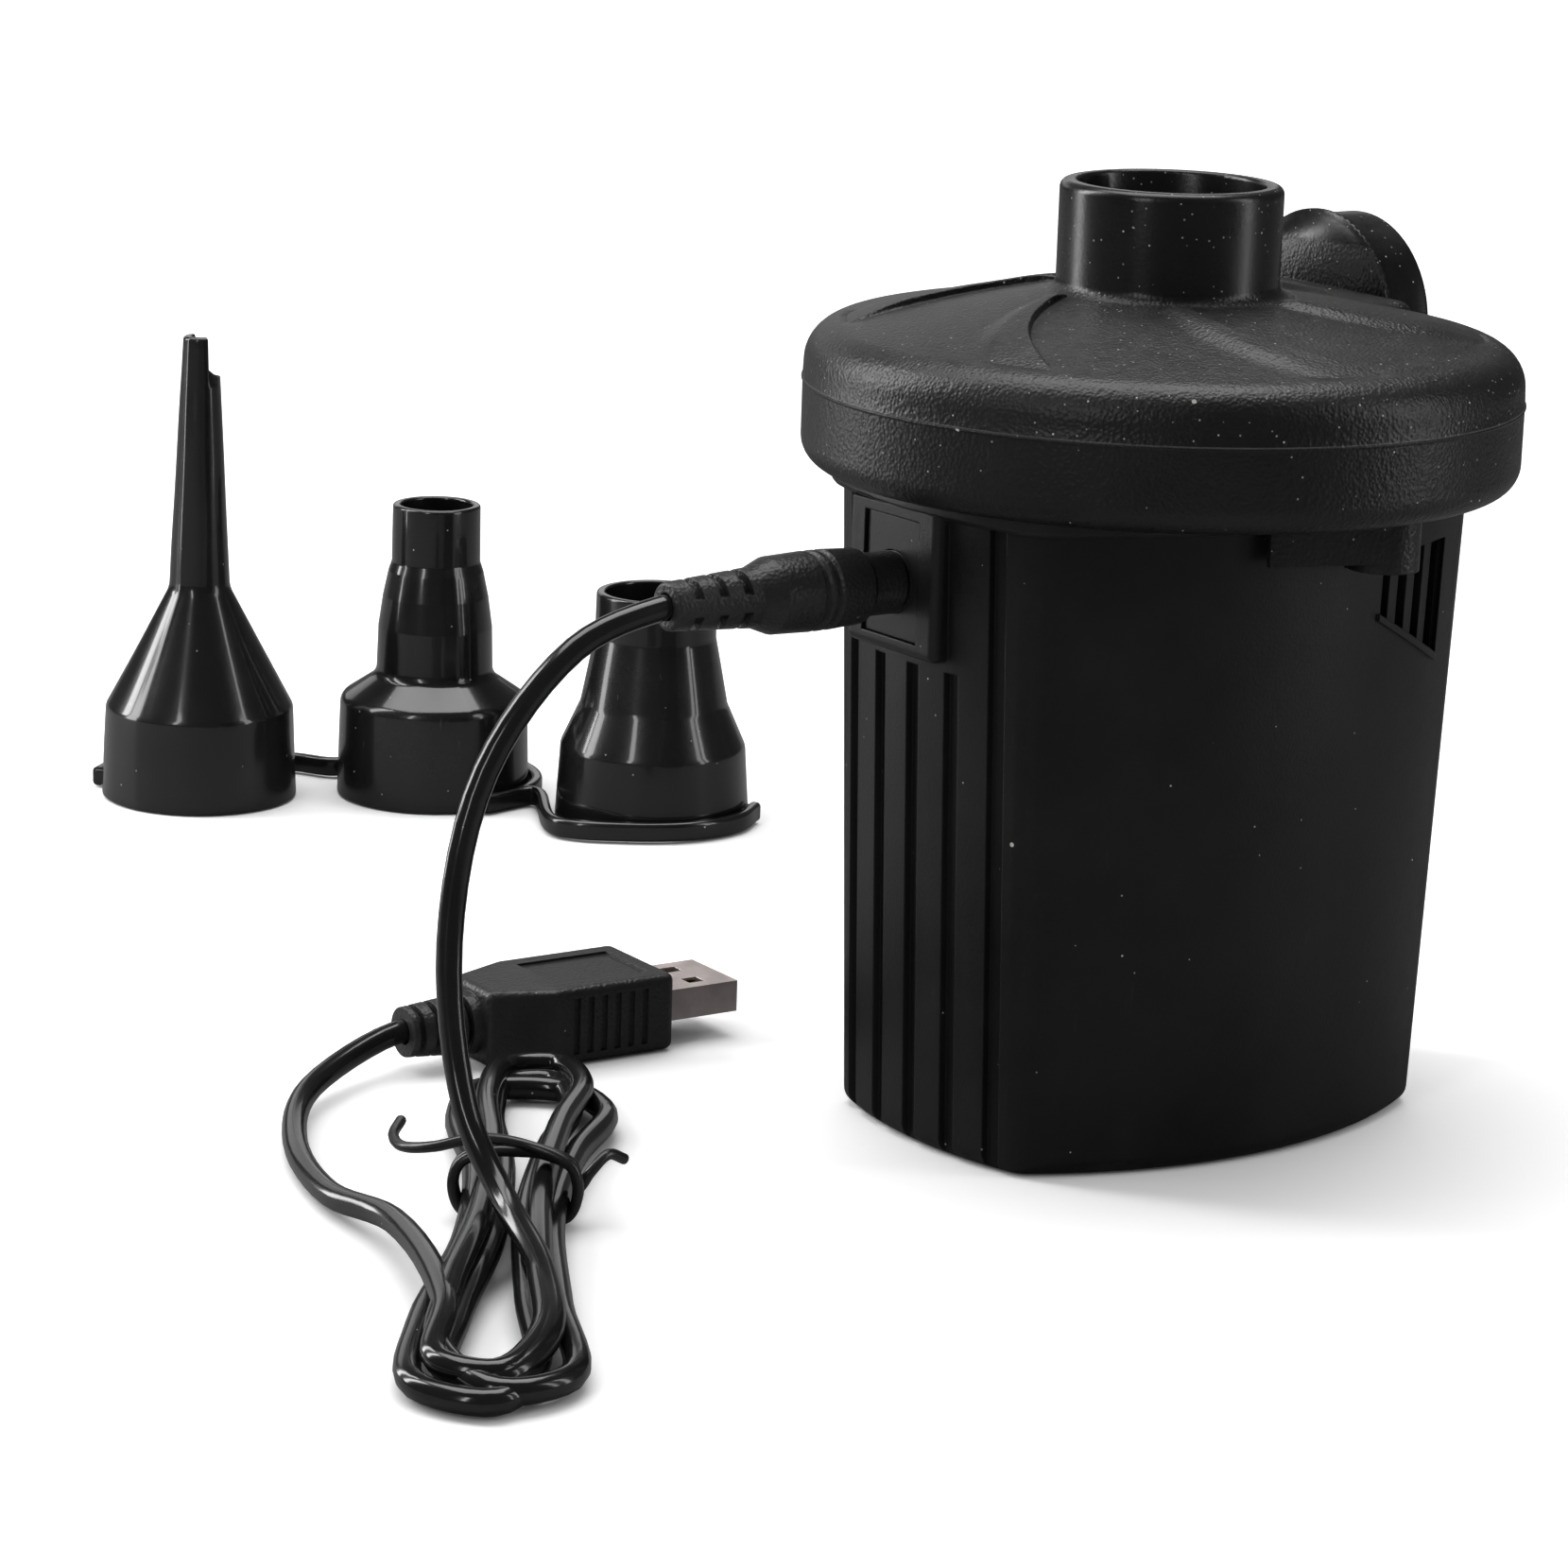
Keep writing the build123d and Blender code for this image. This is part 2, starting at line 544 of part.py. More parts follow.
# ---------------------------------------------------------------------------
# motor
# ---------------------------------------------------------------------------
FRONT_BEARING_R = 2.5
REAR_BEARING_R = 2.6
CORE_Z0, CORE_Z1 = 63.5, 81.0
SLOT_AT = 6.1            # radius of the circle the armature slots lie on
MAGNET_R0 = 10.35
MAGNET_OUT_R = CAN_IN_R - 0.02
BRUSH_Z0, BRUSH_TOP = 57.0, 59.6
BRUSH_X1 = 6.4


def motor_can():
    can = turned([
        (1.6, Z_CAN_TOP + 1.9), (1.6, Z_CAN_TOP + 1.4), (FRONT_BEARING_R, Z_CAN_TOP + 1.4),
        (FRONT_BEARING_R, Z_CAN_TOP - CAN_WALL), (CAN_IN_R, Z_CAN_TOP - CAN_WALL, 0.8),
        (CAN_IN_R, Z_CAN_REAR), (CAN_R, Z_CAN_REAR), (CAN_R, Z_CAN_TOP, 1.2),
        (3.1, Z_CAN_TOP), (3.1, Z_CAN_TOP + 1.9)])
    for x, y in MOTOR_SCREWS:
        can = can - cyl(CLOSE_HOLE_R, Z_CAN_TOP - 3, Z_CAN_TOP + 1, x, y)
    return can


def motor_front_bearing():
    return (cyl(FRONT_BEARING_R, Z_CAN_TOP - 1.6, Z_CAN_TOP + 1.4)
            - cyl(BEARING_BORE_R, 80, 95))


def motor_end_cap():
    rim_r, step_r, floor_top = CAN_R - 0.15, 10.6, Z_END_CAP + 1.5
    cap = turned([
        (REAR_BEARING_R, Z_END_CAP), (rim_r, Z_END_CAP, 1.0), (rim_r, Z_CAN_REAR),
        (CAN_IN_R, Z_CAN_REAR), (CAN_IN_R, Z_CAN_REAR + 1.6), (step_r, Z_CAN_REAR + 1.6),
        (step_r, floor_top), (REAR_BEARING_R, floor_top)])
    pocket = cyl(REAR_BEARING_R, Z_END_CAP - 1.4, Z_END_CAP + 2.0)
    cap = cap + (cyl(4.2, Z_END_CAP - 2.2, Z_END_CAP + 1.0) - pocket)
    cap = cap - pocket
    for s in (1, -1):
        x = s * TERMINAL_X
        cap = cap - box(x - 0.45, x + 0.45, -1.45, 1.45, Z_END_CAP - 1, Z_END_CAP + 3)
    return cap


def motor_rear_bearing():
    return (cyl(REAR_BEARING_R, Z_END_CAP - 1.4, Z_END_CAP + 1.6)
            - cyl(BEARING_BORE_R, 45, 60))


def motor_shaft():
    return cyl(SHAFT_R, Z_END_CAP - 1.2, IMP_Z0 + 9.0)


def armature_core():
    core = cyl(9.8, CORE_Z0, CORE_Z1) - cyl(SHAFT_R, 60, 85)
    for k in range(5):
        slot = cyl(2.75, 60, 85, SLOT_AT, 0) + box(SLOT_AT, 11.0, -0.7, 0.7, 60, 85)
        core = core - Rot(0, 0, 72 * k) * slot
    return core


def armature_windings():
    """Five rods in the slots, joined by a ring at each end of the core."""
    rods = [Rot(0, 0, 72 * k) * cyl(2.65, CORE_Z0 - 0.5, CORE_Z1 + 0.5, SLOT_AT, 0)
            for k in range(5)]
    windings = rods[0]
    for rod in rods[1:]:
        windings = windings + rod
    return (windings + (cyl(9.0, 61.2, CORE_Z0) - cyl(3.0, 60, 65))
            + (cyl(9.0, CORE_Z1, 83.2) - cyl(3.0, 80, 85)))


def commutator():
    drum = cyl(3.4, 56.4, 60.6) - cyl(SHAFT_R, 50, 65)
    drum = drum + (cyl(4.6, 60.0, 61.0) - cyl(SHAFT_R, 50, 65))
    for k in range(5):
        drum = drum - Rot(0, 0, 72 * k) * box(2.6, 5.0, -0.2, 0.2, 56.0, 60.0)
    return drum


def sector(r0, r1, start, end, z0, z1):
    """Piece of a ring between two angles in degrees."""
    outer = [polar(r1, radians(a), z0) for a in (start, (start + end) / 2, end)]
    inner = [polar(r0, radians(a), z0) for a in (end, (start + end) / 2, start)]
    face = Face(Wire([ThreePointArc(*outer), Line(outer[2], inner[0]),
                      ThreePointArc(*inner), Line(inner[2], outer[0])]))
    return extrude(face, z1 - z0, dir=(0, 0, 1))


def motor_magnets():
    return Compound(children=[sector(MAGNET_R0, MAGNET_OUT_R, middle - 62, middle + 62, 61.5, 83.0)
                              for middle in (0, 180)])


def magnet_clip():
    """U-shaped clip between the magnets: two legs and a lower bow."""
    return (sector(12.2, MAGNET_OUT_R, 66, 70, 62.0, 82.5)
            + sector(12.2, MAGNET_OUT_R, 110, 114, 62.0, 82.5)
            + sector(12.2, MAGNET_OUT_R, 66, 114, 62.0, 63.2))


def motor_brushes():
    return Compound(children=[box(x0, x1, -1.2, 1.2, BRUSH_Z0, BRUSH_TOP)
                              for x0, x1 in ((3.43, BRUSH_X1), (-BRUSH_X1, -3.43))])


def motor_terminals():
    """Upright blades through the end cap, each with an arm in to its brush."""
    terminals = []
    for s in (1, -1):
        x = s * TERMINAL_X
        blade = box(x - 0.4, x + 0.4, -1.4, 1.4, Z_END_CAP - 4.5, 58.6)
        x0, x1 = sorted((s * BRUSH_X1, x))
        terminals.append(blade + box(x0, x1, -1.4, 1.4, 57.9, 58.6))
    return Compound(children=terminals)


# ---------------------------------------------------------------------------
# screws
# ---------------------------------------------------------------------------
def cross(x, y, z0, z1, reach=1.5, half=0.28):
    """Cutter for a cross recess."""
    return (box(x - reach, x + reach, y - half, y + half, z0, z1)
            + box(x - half, x + half, y - reach, y + reach, z0, z1))


def motor_screws():
    screws = []
    for x, y in MOTOR_SCREWS:
        screw = (cyl(SCREW_R, Z_CAN_TOP - 2.6, FLOOR_TOP, x, y)
                 + cyl(2.2, FLOOR_TOP, FLOOR_TOP + 1.1, x, y))
        screws.append(screw - cross(x, y, FLOOR_TOP + 0.5, FLOOR_TOP + 2, 1.4, 0.25))
    return Compound(children=screws)


def cover_screws():
    """Screws that point up into the cover, heads below."""
    return Compound(children=[
        cyl(SCREW_R, seat, 104.2, x, y) + cyl(2.4, seat - 1.6, seat, x, y)
        - cross(x, y, seat - 2.0, seat - 0.8)
        for x, y, _, seat in COVER_SCREWS])


def body_screws():
    """Screws that point down into the body's corner posts."""
    return Compound(children=[
        cyl(SCREW_R, 76.0, FLOOR_TOP, x, y) + cyl(2.3, FLOOR_TOP, FLOOR_TOP + 1.4, x, y)
        - cross(x, y, FLOOR_TOP + 0.7, FLOOR_TOP + 2)
        for x, y in BODY_SCREWS])


# ---------------------------------------------------------------------------
# socket side
# ---------------------------------------------------------------------------
JACK_STEP_X, JACK_BACK_X = -38.9, -26.4      # front and back of the square housing
JACK_PIN_R = 1.0


def insert_plate():
    y0, y1 = PANEL_Y0 + PANEL_GAP, PANEL_Y1 - PANEL_GAP
    return plate([(-PANEL_X, y0, 0.25), (-PANEL_X, y1, 0.25), (-PANEL_IN_X, y1),
                  (-PANEL_IN_X, y0)], PANEL_Z0 + PANEL_GAP, PANEL_Z1 - PANEL_GAP)


def jack_panel():
    return insert_plate() - xcyl(4.15, -45, -35, JACK_Y, JACK_Z)


def dc_jack_housing():
    housing = (xcyl(4.05, -PANEL_X + 0.1, JACK_STEP_X, JACK_Y, JACK_Z)
               + box(JACK_STEP_X, JACK_BACK_X, JACK_Y - 4.5, JACK_Y + 4.5,
                     JACK_Z - 5.0, JACK_Z + 5.0))
    return (housing - xcyl(2.83, -45, -29.4, JACK_Y, JACK_Z)
            - xcyl(JACK_PIN_R, -45, -26.0, JACK_Y, JACK_Z))


def dc_jack_pin():
    return xcyl(JACK_PIN_R, -37.4, -26.0, JACK_Y, JACK_Z)


def dc_jack_terminals():
    return Compound(children=[
        box(JACK_BACK_X, -22.6, JACK_Y - 3.4, JACK_Y - 2.9, JACK_Z - 1.2, JACK_Z + 1.2),
        box(-26.0, -22.2, JACK_Y - 1.0, JACK_Y + 1.0, JACK_Z - 0.25, JACK_Z + 0.25)])


# ---------------------------------------------------------------------------
# switch side
# ---------------------------------------------------------------------------
SWITCH_W, SWITCH_H = 8.6, 13.0       # cut-out for the rocker housing
SWITCH_GAP = 0.06
SWITCH_BACK_X = 30.2
PIVOT_X = 38.4
ROCKER_TILT = -8
# x from the pivot, z from the pivot, corner radius: a shallow V on the outer face
ROCKER = [(-2.6, -3.6, 0.8), (-2.6, 3.6, 0.8), (2.9, 4.85, 0.5), (4.9, 4.6, 0.6),
          (3.9, 0.0, 4.0), (4.9, -4.6, 0.6), (2.9, -4.85, 0.5)]


def switch_box(x0, x1, half_y, half_z):
    """Block centred on the switch in Y and Z."""
    return box(x0, x1, SWITCH_Y - half_y, SWITCH_Y + half_y, SWITCH_Z - half_z, SWITCH_Z + half_z)


def pivot_rod(radius, length):
    return Pos(PIVOT_X, SWITCH_Y, SWITCH_Z) * Rot(90, 0, 0) * Cylinder(radius, length)


def switch_panel():
    return HALF_TURN * insert_plate() - switch_box(35, 45, SWITCH_W / 2, SWITCH_H / 2)


def switch_housing():
    housing = switch_box(SWITCH_BACK_X, PANEL_X, SWITCH_W / 2 - SWITCH_GAP,
                         SWITCH_H / 2 - SWITCH_GAP)
    housing = housing + switch_box(PANEL_X, PANEL_X + 1.0, 5.2, 7.4)
    housing = fillet(housing.edges().filter_by(Axis.X).group_by(Axis.X)[-1], 0.8)
    housing = housing - switch_box(32.2, 45.0, 3.1, 5.3)
    housing = housing - switch_box(31.0, 45.0, 2.0, 3.0)
    # pivot sockets in the two side walls
    return housing - pivot_rod(0.75, 7.4)


def switch_rocker():
    outline = [(PIVOT_X + x, z, radius) for x, z, radius in ROCKER]
    face = profile(outline, lambda x, z: Vector(x, SWITCH_Y - 2.95, SWITCH_Z + z))
    rocker = extrude(face, 5.9, dir=(0, 1, 0))
    rocker = (Pos(PIVOT_X, SWITCH_Y, SWITCH_Z) * Rot(0, ROCKER_TILT, 0)
              * Pos(-PIVOT_X, -SWITCH_Y, -SWITCH_Z) * rocker)
    return rocker + pivot_rod(0.70, 7.3)


def switch_terminals():
    return Compound(children=[
        box(26.6, SWITCH_BACK_X, SWITCH_Y - 1.6, SWITCH_Y + 1.6, SWITCH_Z + z0, SWITCH_Z + z0 + 0.5)
        for z0 in (-4.2, 3.7)])


# ---------------------------------------------------------------------------
# internal leads
# ---------------------------------------------------------------------------
LEAD_R = 0.75
RETURN_END = (-11.2, 0.0, 50.0)
SWITCHED_END = (11.2, 0.0, 50.0)


def wire_supply():
    """Centre pin of the socket to the lower switch terminal, round behind the motor."""
    return tube_along([
        (-22.2, JACK_Y, JACK_Z - 1.1), (-21.0, 8.0, 66.0), (-12.0, 19.5, 60.0),
        (6.0, 21.0, 60.0), (21.5, 10.0, 66.0), (26.0, SWITCH_Y, SWITCH_Z - 5.1)], LEAD_R)


def wire_return():
    """Outer socket terminal to the motor terminal on the -X side."""
    return tube_along([
        (-23.4, JACK_Y - 3.15, JACK_Z - 2.1), (-22.5, -4.0, 62.0), (-18.0, -4.5, 52.0),
        (-12.8, -1.5, 49.2), RETURN_END], LEAD_R)


def wire_switched():
    """Upper switch terminal to the motor terminal on the +X side."""
    return tube_along([
        (26.8, SWITCH_Y + 2.6, SWITCH_Z + 5.0), (23.6, SWITCH_Y + 1.0, 70.0),
        (20.5, -1.5, 56.0), (14.5, -0.8, 49.6), SWITCHED_END], LEAD_R)


# ---------------------------------------------------------------------------
# barrel plug on the lead
# ---------------------------------------------------------------------------
PLUG_X = -41.5           # front face of the moulding when pushed home
PLUG_L = 34.9            # length of the moulding with its strain relief
BARREL_R, PLUG_CORE_R = 2.75, 2.35
BARREL_ROOT = 6.0        # how far the barrel sits in the moulding
RELIEF_SLOTS = (23.9, 27.5, 31.1)
# distance back from the front face, radius, corner radius
PLUG_OUTLINE = [
    (0, 0), (0, 4.1, 0.4), (5.0, 4.1, 0.3), (5.8, 4.9, 0.4),
    (10.9, 5.2), (11.2, 4.8), (11.8, 4.8), (12.1, 5.2),
    (12.6, 5.2), (12.9, 4.8), (13.5, 4.8), (13.8, 5.2),
    (19.5, 5.0, 1.0), (22.3, 3.9, 1.0), (PLUG_L, 3.1, 0.5), (PLUG_L, 0)]


def plug_x(back):
    """X at a distance back from the moulding's front face."""
    return PLUG_X - back


def plug_cyl(radius, back, front):
    """Cylinder on the plug's axis between two distances back from the front face."""
    return xcyl(radius, plug_x(back), plug_x(front), JACK_Y, JACK_Z)


def dc_plug_mould():
    mould = turned_x([(plug_x(p[0]), *p[1:]) for p in PLUG_OUTLINE], JACK_Y, JACK_Z)
    for d in RELIEF_SLOTS:
        slot = plug_cyl(6.0, d + 1.3, d) - plug_cyl(2.5, d + 1.4, d - 0.1)
        slot = slot - box(plug_x(d + 2), plug_x(d - 1), JACK_Y - 6.5, JACK_Y + 6.5,
                          JACK_Z - 1.1, JACK_Z + 1.1)
        mould = mould - slot
    return (mould - plug_cyl(CABLE_R + CABLE_GAP, 40, 25.0)
            - plug_cyl(BARREL_R, BARREL_ROOT, -1))


def dc_plug_barrel():
    return plug_cyl(BARREL_R, BARREL_ROOT, -9.5) - plug_cyl(PLUG_CORE_R, 7.0, -10)


def dc_plug_core():
    return plug_cyl(PLUG_CORE_R, BARREL_ROOT, -9.2) - plug_cyl(1.05, 1.0, -10)


# ---------------------------------------------------------------------------
# lead: run from the barrel plug, a coiled bundle on the floor, run to the USB plug
# ---------------------------------------------------------------------------
BUNDLE_U0, BUNDLE_V0 = -80.0, -8.0       # back end of the bundle's axis
BUNDLE_U1, BUNDLE_V1 = -70.0, -132.0     # front end
COIL_W = 8.5             # half width of the coil's centre line
COIL_R = 3.4             # thickness of the coiled strands taken together
COIL_Z = 5.2             # the coil rests on the tie at its waist
WAIST = 4.2              # half width of the coil at the tie
COIL_L = hypot(BUNDLE_U1 - BUNDLE_U0, BUNDLE_V1 - BUNDLE_V0)
END_X = COIL_L / 2 - COIL_W              # centres of the two end turns
SIDE_RAD = (END_X ** 2 - COIL_W ** 2 + WAIST ** 2) / (2 * (COIL_W - WAIST))
SIDE_Y = SIDE_RAD + WAIST                # centres of the two waisted sides

USB_MID = place(-77.0, 12.0)             # middle of the USB moulding
USB_Z = 5.6
USB_HEADING = radians(38.0) - FLOOR_TURN     # towards the metal, from +X


def bundle_point(t, sideways, z):
    """Point by the bundle's axis, t from 0 (back end) to 1 (front end)."""
    return place(BUNDLE_U0 + (BUNDLE_U1 - BUNDLE_U0) * t + sideways,
                 BUNDLE_V0 + (BUNDLE_V1 - BUNDLE_V0) * t, z)


BUNDLE_BACK, BUNDLE_FRONT = bundle_point(0.0, 0, 0), bundle_point(1.0, 0, 0)
BUNDLE_TURN = degrees(atan2(BUNDLE_FRONT[1] - BUNDLE_BACK[1], BUNDLE_FRONT[0] - BUNDLE_BACK[0]))


def usb_point(along):
    """Point on the USB plug's axis, positive towards the metal."""
    return (USB_MID[0] + along * cos(USB_HEADING), USB_MID[1] + along * sin(USB_HEADING), USB_Z)


def coil_arc(cx, cy, radius, start, end):
    """Round tube along an arc about (cx, cy), angles in degrees."""
    angle = radians(start)
    origin = (cx + radius * cos(angle), cy + radius * sin(angle), 0)
    disc = Plane(origin=origin, z_dir=(-sin(angle), cos(angle), 0)) * Circle(COIL_R)
    return revolve(disc, Axis((cx, cy, 0), (0, 0, 1)), end - start)


def coil_ring():
    """Waisted loop about the origin, long in X."""
    joint = degrees(atan2(SIDE_Y, -END_X))
    end_a = coil_arc(END_X, 0, COIL_W, -joint, joint)
    end_b = coil_arc(-END_X, 0, COIL_W, 180 - joint, 180 + joint)
    side_a = coil_arc(0, SIDE_Y, SIDE_RAD, -joint, joint - 180)
    side_b = coil_arc(0, -SIDE_Y, SIDE_RAD, 180 - joint, joint)
    return (end_a + side_a) + (end_b + side_b)


def usb_cable():
    middle = Pos((BUNDLE_BACK[0] + BUNDLE_FRONT[0]) / 2,
                 (BUNDLE_BACK[1] + BUNDLE_FRONT[1]) / 2, COIL_Z)
    ring = middle * Rot(0, 0, BUNDLE_TURN) * coil_ring()
    plug_run = plug_cyl(CABLE_R, PLUG_L + 0.5, 25.5)
    plug_run = plug_run + tube_along([
        (plug_x(PLUG_L + 0.5), JACK_Y, JACK_Z),
        place(-70.5, -55.8, 71.6), place(-80.2, -64.2, 57.5), place(-83.6, -69.0, 37.0),
        place(-80.5, -74.5, 18.5), place(-75.5, -80.5, 9.6), place(-70.4, -86.5, 6.2)],
        CABLE_R, tangents=[(-1, 0, 0), place(0.6, -0.8, -0.35)])
    usb_run = tube_along([
        bundle_point(0.655, -3.6, 5.2),
        place(-88.5, -79.0, 4.4), place(-99.0, -64.0, 3.0), place(-107.0, -44.0, 2.8),
        place(-108.5, -24.0, 3.4), usb_point(-29.5)],
        CABLE_R, tangents=[place(-0.8, 0.55, -0.02), (cos(USB_HEADING), sin(USB_HEADING), 0)])
    usb_end = (Pos(*usb_point(-22.5)) * Rot(0, 0, degrees(USB_HEADING))
               * Rot(0, 90, 0) * Cylinder(CABLE_R, 14.0))
    return ring + plug_run + usb_run + usb_end


# ---------------------------------------------------------------------------
# twist tie: a flat band round the waist of the coil with two free ends
# ---------------------------------------------------------------------------
TIE_AT = 0.45            # place along the bundle
TIE_T = 1.4              # the band is square in section
TIE_HALF, TIE_Z0, TIE_Z1 = 9.8, 0.1, 10.3


def tie_block(inset, radius):
    half, z0, z1 = TIE_HALF - inset, TIE_Z0 + inset, TIE_Z1 - inset
    face = profile([(-half, z0, radius), (half, z0, radius), (half, z1, radius),
                    (-half, z1, radius)], lambda y, z: Vector(-TIE_T / 2, y, z))
    return extrude(face, TIE_T, dir=(1, 0, 0))


def tie_end(points):
    """Free end through (place along from the tie, sideways, z) points."""
    return tube_along([bundle_point(TIE_AT + t, s, z) for t, s, z in points], TIE_T / 2)


def twist_tie():
    tie = tie_block(0.0, 4.3) - tie_block(TIE_T, 3.0)
    tie = Pos(*bundle_point(TIE_AT, 0, 0)) * Rot(0, 0, BUNDLE_TURN) * tie
    long_end = tie_end([(0, -9.1, 6.0), (-0.03, -12.0, 7.6), (-0.09, -15.5, 6.4),
                        (-0.17, -16.5, 5.0)])
    short_end = tie_end([(0, 9.1, 6.0), (0.02, 11.5, 7.8), (0.05, 13.6, 6.2)])
    return largest_solid(tie + long_end + short_end)


# ---------------------------------------------------------------------------
# USB plug, built along +X about its middle, then laid on the floor
# ---------------------------------------------------------------------------
USB_L, USB_W, USB_T = 21.0, 17.6, 11.0
USB_FACE = USB_L / 2     # face of the moulding that the metal comes out of
SHELL_Y, SHELL_Z, SHELL_WALL = 6.0, 2.25, 0.3        # half width, half height, wall
SHELL_IN_Y, SHELL_IN_Z = SHELL_Y - SHELL_WALL, SHELL_Z - SHELL_WALL


def lay_usb(shape):
    return Pos(*usb_point(0)) * Rot(0, 0, degrees(USB_HEADING)) * shape


def usb_plug_mould():
    half_l, half_w, half_t = USB_L / 2, USB_W / 2, USB_T / 2
    mould = plate([
        (half_l, half_w, 1.4), (-half_l + 2.0, half_w, 2.0), (-half_l - 7.0, 5.2, 1.0),
        (-half_l - 7.0, -5.2, 1.0), (-half_l + 2.0, -half_w, 2.0), (half_l, -half_w, 1.4)],
        -half_t, half_t)
    rims = mould.edges().group_by(Axis.Z)[-1] + mould.edges().group_by(Axis.Z)[0]
    mould = fillet_or_leave(mould, rims, 1.1)
    # shallow field on top, then six grooves in each flank
    mould = mould - box(-7.0, 7.6, -5.6, 5.6, half_t - 0.35, half_t + 1)
    for i in range(6):
        x0 = -6.0 + i * 2.2
        for s in (1, -1):
            y0, y1 = sorted((s * half_w, s * (half_w - 0.5)))
            mould = mould - box(x0, x0 + 1.0, y0, y1, -half_t + 1.5, half_t - 1.5)
    # tapered, ringed strain relief
    relief = Rot(0, -90, 0) * turned([(0, 0), (4.4, 0), (3.5, 11.0), (0, 11.0)])
    relief = Pos(-half_l - 6.5, 0, 0) * relief
    for i in range(4):
        ring = Cylinder(6, 0.9) - Cylinder(2.6, 1.2)
        relief = relief - (Pos(-half_l - 9.0 - i * 2.4, 0, 0) * Rot(0, 90, 0) * ring)
    mould = mould + relief
    mould = mould - Pos(-22.0, 0, 0) * Rot(0, 90, 0) * Cylinder(CABLE_R + CABLE_GAP, 14.0)
    return lay_usb(mould - box(USB_FACE - 6.0, USB_FACE + 1, -6.05, 6.05, -2.3, 2.3))


def usb_shell():
    shell = (box(USB_FACE - 5.9, USB_FACE + 12.0, -SHELL_Y, SHELL_Y, -SHELL_Z, SHELL_Z)
             - box(USB_FACE - 5.6, USB_FACE + 13.0, -SHELL_IN_Y, SHELL_IN_Y,
                   -SHELL_IN_Z, SHELL_IN_Z))
    # two square windows above and two below
    for y in (2.9, -2.9):
        for z0, z1 in ((0, 3), (-3, 0)):
            shell = shell - box(USB_FACE + 5.2, USB_FACE + 7.7, y - 1.15, y + 1.15, z0, z1)
    return lay_usb(shell)


def usb_tongue():
    return lay_usb(box(USB_FACE - 5.6, USB_FACE + 11.4, -5.6, 5.6, -SHELL_IN_Z, 0.0)
                   + box(USB_FACE - 5.6, USB_FACE - 0.5, -SHELL_IN_Y, SHELL_IN_Y,
                         -SHELL_IN_Z, SHELL_IN_Z))


def usb_contacts():
    return lay_usb(Compound(children=[
        box(USB_FACE - 0.5, USB_FACE + 10.6, y - 0.5, y + 0.5, 0.0, 0.25)
        for y in (-3.5, -1.0, 1.0, 3.5)]))


# ---------------------------------------------------------------------------
# nozzle adapters, standing on their wide mouths
# ---------------------------------------------------------------------------
CUP_BORE = 14.82
CUP_R = 16.2
CUP_MOUTH = [(CUP_BORE, 0), (CUP_R, 0, 0.4)]
NEEDLE_AT = place(-157.0, 143.0)
MEDIUM_AT = place(-119.0, 152.0)
LARGE_AT = place(-81.0, 143.0)
# The outlines below go on from the mouth: radius, z, corner radius. They run up the
# outside and back down the bore.
MEDIUM_OUTLINE = [
    (15.6, 16.6, 1.8), (9.6, 20.4, 1.8), (9.6, 28.8, 1.6), (8.9, 33.8, 2.0),
    (7.9, 38.2, 1.6), (7.3, 39.4, 0.8), (7.3, 49.2, 0.3),
    (5.9, 49.2, 0.3), (6.2, 38.6, 1.5), (8.1, 28.0, 1.5), (8.1, 21.2, 1.5),
    (14.2, 16.4, 1.5), (CUP_BORE, 13.5)]
LARGE_OUTLINE = [
    (15.4, 12.6, 2.5), (12.1, 19.2, 2.5), (9.9, 31.0), (9.9, 38.0, 0.3),
    (8.4, 38.0, 0.3), (8.5, 31.0), (10.7, 19.0, 2.0), (14.0, 12.8, 1.5), (CUP_BORE, 11.5)]
NEEDLE_OUTLINE = [
    (15.5, 15.4, 1.8), (4.9, 35.0, 3.0), (2.9, 77.0, 0.4),
    (1.5, 77.0, 0.2), (3.3, 36.0, 2.5), (14.0, 15.6, 1.5), (CUP_BORE, 12.5)]


def stand_at(spot, shape):
    return Pos(spot[0], spot[1], 0) * shape


def medium_adapter():
    return stand_at(MEDIUM_AT, turned(CUP_MOUTH + MEDIUM_OUTLINE))


def large_adapter():
    return stand_at(LARGE_AT, turned(CUP_MOUTH + LARGE_OUTLINE))


def needle_adapter():
    """Long thin nozzle with one side of its tip cut away."""
    needle = turned(CUP_MOUTH + NEEDLE_OUTLINE)
    return stand_at(NEEDLE_AT, needle - box(-0.2, 6, -5, 5, 70.2, 80))


# ---------------------------------------------------------------------------
# tether: one S-shaped strap along the mouths of the three cups
# ---------------------------------------------------------------------------
STRAP_R = 17.35          # radius of the strap's centre line round a cup
STRAP_Z = 1.7
# cup, angle from the u axis in degrees, distance outside STRAP_R
NEEDLE_STRAP = [
    (NEEDLE_AT, 178, 0), (NEEDLE_AT, 150, 0.2), (NEEDLE_AT, 118, 0.3), (NEEDLE_AT, 84, 1.2),
    (NEEDLE_AT, 52, 4.5), (MEDIUM_AT, 160, 1.6), (MEDIUM_AT, 128, 0.1)]
LARGE_STRAP = [
    (MEDIUM_AT, -52, 0.1), (MEDIUM_AT, -20, 1.8), (LARGE_AT, -128, 4.5), (LARGE_AT, -96, 1.2),
    (LARGE_AT, -62, 0.3), (LARGE_AT, -30, 0.2), (LARGE_AT, -2, 0)]
# joins both straps round the middle cup
MIDDLE_STRAP = [(MEDIUM_AT, angle, 0.1) for angle in (128, 100, 70, 40, 10, -20, -52)]
TABS = [(NEEDLE_AT, 172), (MEDIUM_AT, 128), (MEDIUM_AT, -52), (LARGE_AT, -8)]   # cup, angle


